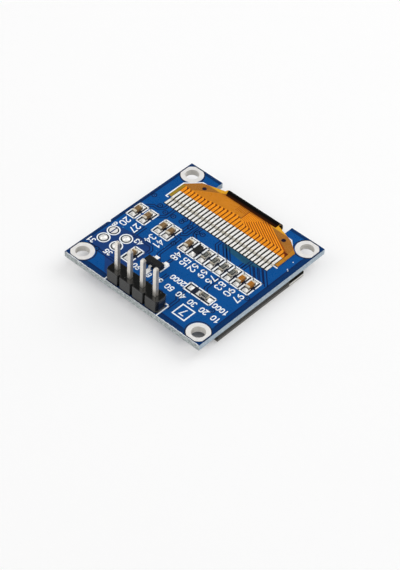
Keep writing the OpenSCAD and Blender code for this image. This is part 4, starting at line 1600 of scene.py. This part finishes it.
    def build_gaps(self) -> None:
        """Adds the dark strips that show between the contacts: dark film and adhesive, darkened
        further as painted shade.
        """
        low, high = self.low, self.high
        pads = box_mm("board_contacts")[0]
        film = box_mm("flex_film")[1].z
        shape = Shape()
        for y0, y1, z in ((pads.y - 0.12, low.y - 0.02, pads.z), (low.y, high.y, film)):
            shape.prism(rectangle(low.x - 0.1, y0, high.x + 0.1, y1), z, z + 0.004)
        shape.build("contact_gaps_and_shade", [GAP_AND_SHADE], "flex_base")

    def build_wrap(self) -> None:
        """Builds the tape over the fold, with its left end cut on a slant."""
        low, high = box_mm("fold_tape")
        outer = (high.z - low.z) / 2
        inner = outer - self.wrap
        fold, level = high.y - outer, (high.z + low.z) / 2
        right = self.neck / 2 + 0.03
        flat_steps, bend_steps, slant_steps = 4, 24, 7
        sections = []
        for i in range(flat_steps):
            y = fold - self.wrap_front * (1 - i / flat_steps)
            sections.append(((y, level + outer), (y, level + inner)))
        for t in (math.radians(90 - 180 * i / bend_steps) for i in range(bend_steps + 1)):
            sections.append(((fold + outer * math.cos(t), level + outer * math.sin(t)),
                             (fold + inner * math.cos(t), level + inner * math.sin(t))))
        sections.append(((low.y, level - outer), (low.y, level - inner)))
        rings = []
        for i, (skin, back) in enumerate(sections):
            left = low.x + self.wrap_slant * max(0.0, 1 - i / slant_steps)
            rings.append([(left, *skin), (left, *back), (right, *back), (right, *skin)])
        shape = Shape()
        shape.loft(rings)
        # Brown painted reflection at the front, the tape's own black nearer the fold.
        shape.build("fold_wrap", [self.darker(TAPE_WITH_FILM_REFLECTION, (8, 6, 5), 1.8, 0.5)], "black_tape",
                    smooth=40, replaces=("fold_tape",))

    def build_hole_shade(self) -> None:
        """Adds painted shade as a dark disc at the bottom of each of the two locating holes."""
        shape = Shape()
        for s in (-1, 1):
            spot = (s * self.hole_pitch / 2, self.low.y + self.hole_rise)
            shape.prism(arc(spot, self.hole - 0.01, 0, 360, 32)[:-1], BOARD_HIGH.z,
                        BOARD_HIGH.z + 0.01)
        shape.build("locating_hole_shade", [HOLE_SHADE], "laminate")


# ---- header ----


@dataclass
class PinHeader:
    """The four upright pins, their plastic base and their solder.

    Attributes:
        base_soft: Width of the base's softened edges.
        pin_soft: Width of the pins' softened edges.
    """

    base_soft: float = 0.07
    pin_soft: float = 0.06

    def build(self) -> None:
        """Dresses the header's parts."""
        dress("header_base", HEADER, bevel=self.base_soft)
        for i in range(1, 5):
            dress(f"header_pin_{i}", PIN, bevel=self.pin_soft)
            dress(f"pin_solder_{i}", SOLDER)


# ---- chip parts ----


@dataclass(frozen=True)
class ChipPlace:
    """Where a chip part lies, and its size along and across its own length.

    Attributes:
        x: Its middle along X.
        y: Its middle along Y.
        z: Height of its lower face.
        length: Size from end to end.
        width: Size across.
        height: Its height.
        turns: Quarter turns from X to its length.
    """

    x: float
    y: float
    z: float
    length: float
    width: float
    height: float
    turns: int

    @classmethod
    def of(cls, node: str) -> "ChipPlace":
        """Reads a packed chip's place.

        Args:
            node: The chip's name.

        Returns:
            Its place and size.
        """
        low, high = box_mm(node)
        centre, size = (low + high) / 2, high - low
        upright = size.y > size.x
        length, width = (size.y, size.x) if upright else (size.x, size.y)
        return cls(centre.x, centre.y, low.z, length, width, size.z, int(upright))


@dataclass
class ChipParts:
    """Chip capacitors, resistors, the diode and the solder at their ends.

    Attributes:
        end: Length of a metal end.
        pad: Thickness of a pad.
        pad_over: How far a pad is wider than its chip, on each side.
        pad_shoulder: Width of the bevel round a pad.
        fillet: Length of a solder fillet.
        sink: How far a fillet goes into its pad.
        tuck: How far a pad reaches in past the metal end.
        tall_wet: Share of a capacitor's height that the solder reaches.
        low_wet: Share of a resistor's or the diode's height that it reaches.
        free_pad: Distance from the two-place resistor to its free pad.
        lead_pitch: Distance from the regulator's middle to its outer leads.
        lead_pad: Width and length of a regulator pad.
        lead_reach: Distance from the regulator's middle line to a pad's middle.
        amber: Capacitors with a warmer body.
    """

    end: float = 0.32
    pad: float = 0.05
    pad_over: float = 0.05
    pad_shoulder: float = 0.02
    fillet: float = 0.6
    sink: float = 0.002
    tuck: float = 0.4
    tall_wet: float = 0.26
    low_wet: float = 0.4
    free_pad: float = 2.66
    lead_pitch: float = 0.95
    lead_pad: Spot = (0.75, 1.0)
    lead_reach: float = 1.4
    amber: tuple[str, ...] = ("capacitor_6", "capacitor_7")

    def build(self) -> None:
        """Builds each chip and the solder below all of them."""
        solder = Shape()
        for i in range(1, 9):
            self.build_capacitor(f"capacitor_{i}")
            self.add_joints(solder, f"capacitor_{i}", self.tall_wet)
        for i in range(1, 6):
            self.build_resistor(f"resistor_{i}")
            self.add_joints(solder, f"resistor_{i}", self.low_wet)
        self.build_diode()
        self.add_joints(solder, "diode", self.low_wet)
        self.add_free_pad(solder)
        self.add_lead_pads(solder)
        solder.build("chip_solder", [SOLDER, PLATING, FLOODED], "solder", smooth=50,
                     replaces=("chip_pads",))

    def tinned_end_painted_shade(self) -> Zoned:
        """Gives the metal ends' finish, darker towards the board as painted shade."""
        chips = box_mm("capacitor_1")[0].z
        # Painted shade on the lower part of each metal end.
        return replace(TERMINATION, zones=(Zone((104, 98, 84), high=(FAR, FAR, chips + 0.52),
                                                soft=0.18),))

    def add_ends(self, shape: Shape, chip: ChipPlace, drop: float, radius: float, number: int,
                 steps: int) -> None:
        """Adds the metal ends of a chip that lies along X.

        Args:
            shape: The shape that they go to.
            chip: The chip's place.
            drop: How far the ends lie below the chip's highest face.
            radius: Radius of their edges.
            number: Their finish.
            steps: Faces across each rounded edge.
        """
        half, side, top = chip.length / 2, chip.width / 2, chip.z + chip.height - drop
        for s in (-1, 1):
            x0, x1 = sorted((chip.x + s * half, chip.x + s * (half - self.end)))
            shape.block((x0, chip.y - side, chip.z), (x1, chip.y + side, top), radius, number,
                        steps)

    def build_capacitor(self, node: str) -> None:
        """Builds a ceramic block between two rounded metal ends."""
        chip = ChipPlace.of(node)
        inset = 0.025
        half, side = chip.length / 2 - self.end * 0.6, chip.width / 2 - inset
        shape = Shape()
        shape.block((chip.x - half, chip.y - side, chip.z + inset),
                    (chip.x + half, chip.y + side, chip.z + chip.height - inset), 0.05, 0)
        self.add_ends(shape, chip, 0.0, 0.075, 1, 4)
        shape.turned(chip.turns, (chip.x, chip.y))
        body = AMBER_CERAMIC if node in self.amber else CERAMIC
        shape.build(f"ceramic_{node}", [body, self.tinned_end_painted_shade()], "tan_ceramic", smooth=40,
                    replaces=(node,))

    def build_diode(self) -> None:
        """Builds the diode's body with its flat leads, towards one side of its place."""
        low, high = box_mm("diode")
        shape = Shape()
        width, height, inset, lift = 0.85, 0.58, 0.07, 0.06
        lead_length, lead_inset, lead_height = 0.3, 0.15, 0.2
        left, base = high.x - width, low.z + lift
        shape.block((left, low.y + inset, base), (high.x, high.y - inset, base + height), 0.05, 0)
        for y0, y1 in ((low.y, low.y + lead_length), (high.y - lead_length, high.y)):
            shape.block((left + lead_inset, y0, low.z),
                        (high.x - lead_inset, y1, low.z + lead_height), 0.03, 1)
        shape.build("moulded_diode", [MOULDING, LEAD], "moulding", smooth=40,
                    replaces=("diode",))

    def build_resistor(self, node: str) -> None:
        """Builds a white plate with a dark glaze between two wrapped metal ends."""
        chip = ChipPlace.of(node)
        x, y, z, height = chip.x, chip.y, chip.z, chip.height
        inset = 0.02
        half, side = chip.length / 2, chip.width / 2
        glaze = half - self.end * 0.8
        shape = Shape()
        shape.block((x - half + inset, y - side + inset, z + inset),
                    (x + half - inset, y + side - inset, z + height - 0.06), 0.03, 0)
        shape.block((x - glaze, y - side + inset * 2, z + height * 0.6),
                    (x + glaze, y + side - inset * 2, z + height), 0.035, 1)
        self.add_ends(shape, chip, 0.012, 0.045, 2, 3)
        self.add_marking(shape, chip)
        shape.turned(chip.turns, (x, y))
        shape.build(f"film_{node}", [ALUMINA, OVERGLAZE, self.tinned_end_painted_shade(), MARK],
                    "resistor_ceramic", smooth=40, replaces=(node,))

    def add_marking(self, shape: Shape, chip: ChipPlace) -> None:
        """Adds a plain number to the glaze of a resistor that lies along X."""
        size, advance, pen = 0.36, 0.34, 0.065
        top = chip.z + chip.height
        for i, digit in enumerate("100"):
            for stroke in numeral(digit):
                path = [(chip.x - 0.45 + advance * i + size * x, chip.y + size * (y - 0.5))
                        for x, y in stroke]
                shape.stroke(path, pen, top - 0.002, top + 0.003, 3)

    def slope(self, start: Place, width: float, rise: float, reach: float) -> list[list[Place]]:
        """Gives the cross-sections of a hollow solder slope that runs out along +X.

        Args:
            start: Middle of the slope's foot at the metal end.
            width: The slope's width.
            rise: Height of the slope at its start.
            reach: Length of the slope.

        Returns:
            Loops of points from the start to the toe.
        """
        x, y, z = start
        rings = []
        steps, across = 7, 8
        for i in range(steps + 1):
            t = i / steps
            half = width / 2 * (0.92 - 0.42 * t)
            crown = rise * (1 - t) ** 2.1 + 0.03 * (1 - t) + 0.006
            loop = [(x + reach * t, y - half, z), (x + reach * t, y + half, z)]
            for j in range(1, across):
                u = 1 - 2 * j / across
                height = crown * (1 - 0.75 * abs(u) ** 3)
                loop.append((x + reach * t, y + half * u, z + height))
            rings.append(loop)
        return rings

    def add_joints(self, shape: Shape, node: str, wet: float) -> None:
        """Adds a pad and a solder slope at both ends of a chip.

        Args:
            shape: The shape that they go to.
            node: The chip's name.
            wet: Share of the chip's height that the solder reaches.
        """
        chip = ChipPlace.of(node)
        x, y, z, half = chip.x, chip.y, chip.z, chip.length / 2
        side = min(chip.width, 0.8) / 2 + self.pad_over
        for s in (-1, 1):
            joint = Shape()
            joint.prism(rectangle(x + half - self.tuck, y - side, x + half + self.fillet, y + side),
                        z - self.pad, z, 1, shoulder=self.pad_shoulder)
            joint.loft(self.slope((x + half - 0.02, y, z - self.sink), side * 2 - 0.04,
                                  chip.height * wet, self.fillet), 0)
            joint.turned(chip.turns + 1 - s, (x, y))
            shape.join(joint)

    def add_free_pad(self, shape: Shape) -> None:
        """Adds the free pad of the two-place resistor, under a low dome of solder."""
        chip = ChipPlace.of("resistor_5")
        x, half, side = chip.x - self.free_pad, chip.width / 2, chip.width / 2 + self.pad_over
        shape.prism(rectangle(x - half, chip.y - side, x + half, chip.y + side),
                    chip.z - self.pad, chip.z, 1, shoulder=self.pad_shoulder)
        rings = []
        for inset, rise in ((0.03, 0.0), (0.08, 0.07), (0.2, 0.12), (0.33, 0.14)):
            a, b = half - inset, side - inset
            corners = rectangle(x - a, chip.y - b, x + a, chip.y + b)
            rings.append([(*corner, chip.z + rise) for corner in corners])
        shape.loft(rings, 0)

    def add_lead_pads(self, shape: Shape) -> None:
        """Adds the regulator's pads, each with a solder slope past its lead."""
        body = middle("regulator_body")
        z = box_mm("regulator_leads")[0].z
        half_width, half_length = self.lead_pad[0] / 2, self.lead_pad[1] / 2
        for shift, s in ((-self.lead_pitch, 1), (self.lead_pitch, 1), (0.0, -1)):
            x, y = body.x + shift, body.y + s * self.lead_reach
            outline = rectangle(x - half_width, y - half_length, x + half_width, y + half_length)
            shape.prism(outline, z - self.pad, z, 2, shoulder=self.pad_shoulder)
            slope = Shape()
            slope.loft(self.slope((x + 1.25, body.y, z - self.sink), 0.6, 0.12, 0.5), 2)
            slope.turned(s, (x, body.y))
            shape.join(slope)


@dataclass
class Regulator:
    """The regulator beside the header.

    Attributes:
        body_soft: Width of the body's softened edges.
        lead_soft: Width of the leads' softened edges.
    """

    body_soft: float = 0.05
    lead_soft: float = 0.02

    def build(self) -> None:
        """Dresses its body and leads."""
        dress("regulator_body", MOULDING, bevel=self.body_soft)
        dress("regulator_leads", LEAD, bevel=self.lead_soft)


@dataclass
class Jumpers:
    """The four solder jumpers.

    Attributes:
        open_one: Number of the jumper that no solder bridges.
    """

    open_one: int = 3

    def build(self) -> None:
        """Dresses their pads and blobs."""
        for i in range(1, 5):
            dress(f"jumper_{i}", PLATING if i == self.open_one else SOLDER)


# ---- studio ----


@dataclass(frozen=True)
class Softbox:
    """A rectangular softbox that faces the module.

    Attributes:
        name: The light's name.
        place: Where it stands, in metres.
        size: Its width and height, in metres.
        share: Its share of the light on the floor, where 1 is white.
    """

    name: str
    place: Place
    size: Spot
    share: float

    def build(self) -> None:
        """Adds the light, with the power that its distance and slant need."""
        data = bpy.data.lights.new(self.name, "AREA")
        data.shape = "RECTANGLE"
        data.size, data.size_y = self.size
        reach = Vector(self.place).length
        data.energy = self.share * math.pi ** 2 * reach ** 3 / self.place[2]
        light = bpy.data.objects.new(self.name, data)
        light.location = self.place
        light.rotation_mode = "QUATERNION"
        light.rotation_quaternion = Vector(self.place).to_track_quat("Z", "Y")
        bpy.context.scene.collection.objects.link(light)


@dataclass
class Studio:
    """Floor, soft lights and the camera.

    Attributes:
        lights: The softboxes.
        floor_half: Half the floor's width, in metres.
        floor_gap: Distance from the module down to the floor, in metres.
        aim: Point that the camera looks at, in millimetres.
        distance: Distance from that point to the camera, in millimetres.
        tilt: Camera's turn about X, in degrees.
        lean: Camera's turn about Y, in degrees.
        turn: Camera's turn about Z, in degrees.
        sensor: Length of the camera's sensor, in millimetres.
        lens: Focal length, in millimetres.
        ambient: Light from all round, where 1 is white.
        mirrored: Brightness of the room in mirror-like surfaces.
        dark_end: Brightness of the room's dark end in them.
        dark_from: Cosine of the angle from the dark end's middle to where it starts.
        dark_full: Cosine of the angle from there to where it is at its darkest.
    """

    lights: tuple[Softbox, ...] = (
        Softbox("key_softbox", (0.2, 0.6, 0.5), (0.7, 0.6), 0.24),
        Softbox("top_softbox", (0.05, 0.05, 0.8), (0.8, 0.8), 0.2),
        Softbox("side_softbox", (-0.5, -0.5, 0.5), (0.6, 0.6), 0.1))
    floor_half: float = 3.0
    floor_gap: float = 1e-5
    aim: Place = (5.414, -4.796, 2.65)
    distance: float = 278.71
    tilt: float = 44.6058
    lean: float = -1.9701
    turn: float = 42.8582
    sensor: float = 36.0
    lens: float = 121.16
    ambient: float = 0.5
    mirrored: float = 0.9
    dark_end: float = 0.1
    dark_from: float = 0.72
    dark_full: float = 0.94

    def build(self) -> None:
        """Makes the floor, the world, the lights and the camera."""
        self.build_floor()
        self.build_world()
        for light in self.lights:
            light.build()
        self.build_camera()
        bpy.context.scene.view_settings.view_transform = "Standard"

    def build_floor(self) -> None:
        """Makes a wide paper floor just below the module."""
        half, z = self.floor_half, CAD_BOX[0].z - self.floor_gap
        mesh = bpy.data.meshes.new("studio_floor")
        corners = [(x, y, z) for x, y in rectangle(-half, -half, half, half)]
        mesh.from_pydata(corners, [], [(0, 1, 2, 3)])
        mesh.materials.append(FLOOR.material())
        floor = bpy.data.objects.new("studio_floor", mesh)
        bpy.context.scene.collection.objects.link(floor)

    def build_world(self) -> None:
        """Fills the world with soft light that the camera sees as white."""
        world = bpy.data.worlds.new("studio_world")
        world.use_nodes = True
        world.node_tree.nodes.clear()
        graph = Graph(world.node_tree)
        ray = graph.node("ShaderNodeLightPath").outputs
        facing = graph.node("ShaderNodeVectorMath", operation="DOT_PRODUCT")
        graph.feed(facing.inputs[0], graph.node("ShaderNodeTexCoord").outputs["Generated"])
        back = self.back()
        graph.feed(facing.inputs[1], (-back.x, -back.y, back.z))
        room = graph.span(facing.outputs["Value"], self.dark_from, self.dark_full,
                          self.mirrored - self.ambient, self.dark_end - self.ambient)
        strength = graph.maths("ADD", self.ambient,
                               graph.maths("MULTIPLY", ray["Is Glossy Ray"], room))
        seen = graph.maths("MAXIMUM", ray["Is Camera Ray"], ray["Is Transmission Ray"])
        shade = graph.node("ShaderNodeBackground")
        shade.inputs["Color"].default_value = (1.0, 1.0, 1.0, 1.0)
        graph.feed(shade.inputs["Strength"], graph.maths("MAXIMUM", strength, seen))
        graph.feed(graph.node("ShaderNodeOutputWorld").inputs["Surface"], shade.outputs[0])
        bpy.context.scene.world = world

    def view(self) -> Euler:
        """Gives the camera's turn."""
        return Euler([math.radians(angle) for angle in (self.tilt, self.lean, self.turn)])

    def back(self) -> Vector:
        """Gives the direction from the module to the camera."""
        return self.view().to_matrix() @ Vector((0.0, 0.0, 1.0))

    def build_camera(self) -> None:
        """Makes the camera."""
        data = bpy.data.cameras.new("camera")
        data.lens = self.lens
        data.sensor_width = self.sensor
        data.clip_start, data.clip_end = 0.01, 20.0
        camera = bpy.data.objects.new("camera", data)
        camera.rotation_euler = self.view()
        camera.location = (Vector(self.aim) + self.back() * self.distance) * MM
        bpy.context.scene.collection.objects.link(camera)
        bpy.context.scene.camera = camera


def main() -> None:
    """Builds every sub-assembly, then the studio."""
    logging.basicConfig(level=logging.INFO, format="%(name)s: %(message)s")
    for assembly in (CircuitBoard(), BoardPrint(), Display(), Flex(), PinHeader(), ChipParts(),
                     Regulator(), Jumpers(), Studio()):
        assembly.build()
        LOG.info("finished %s", type(assembly).__name__)


if __name__ == "__main__":
    main()
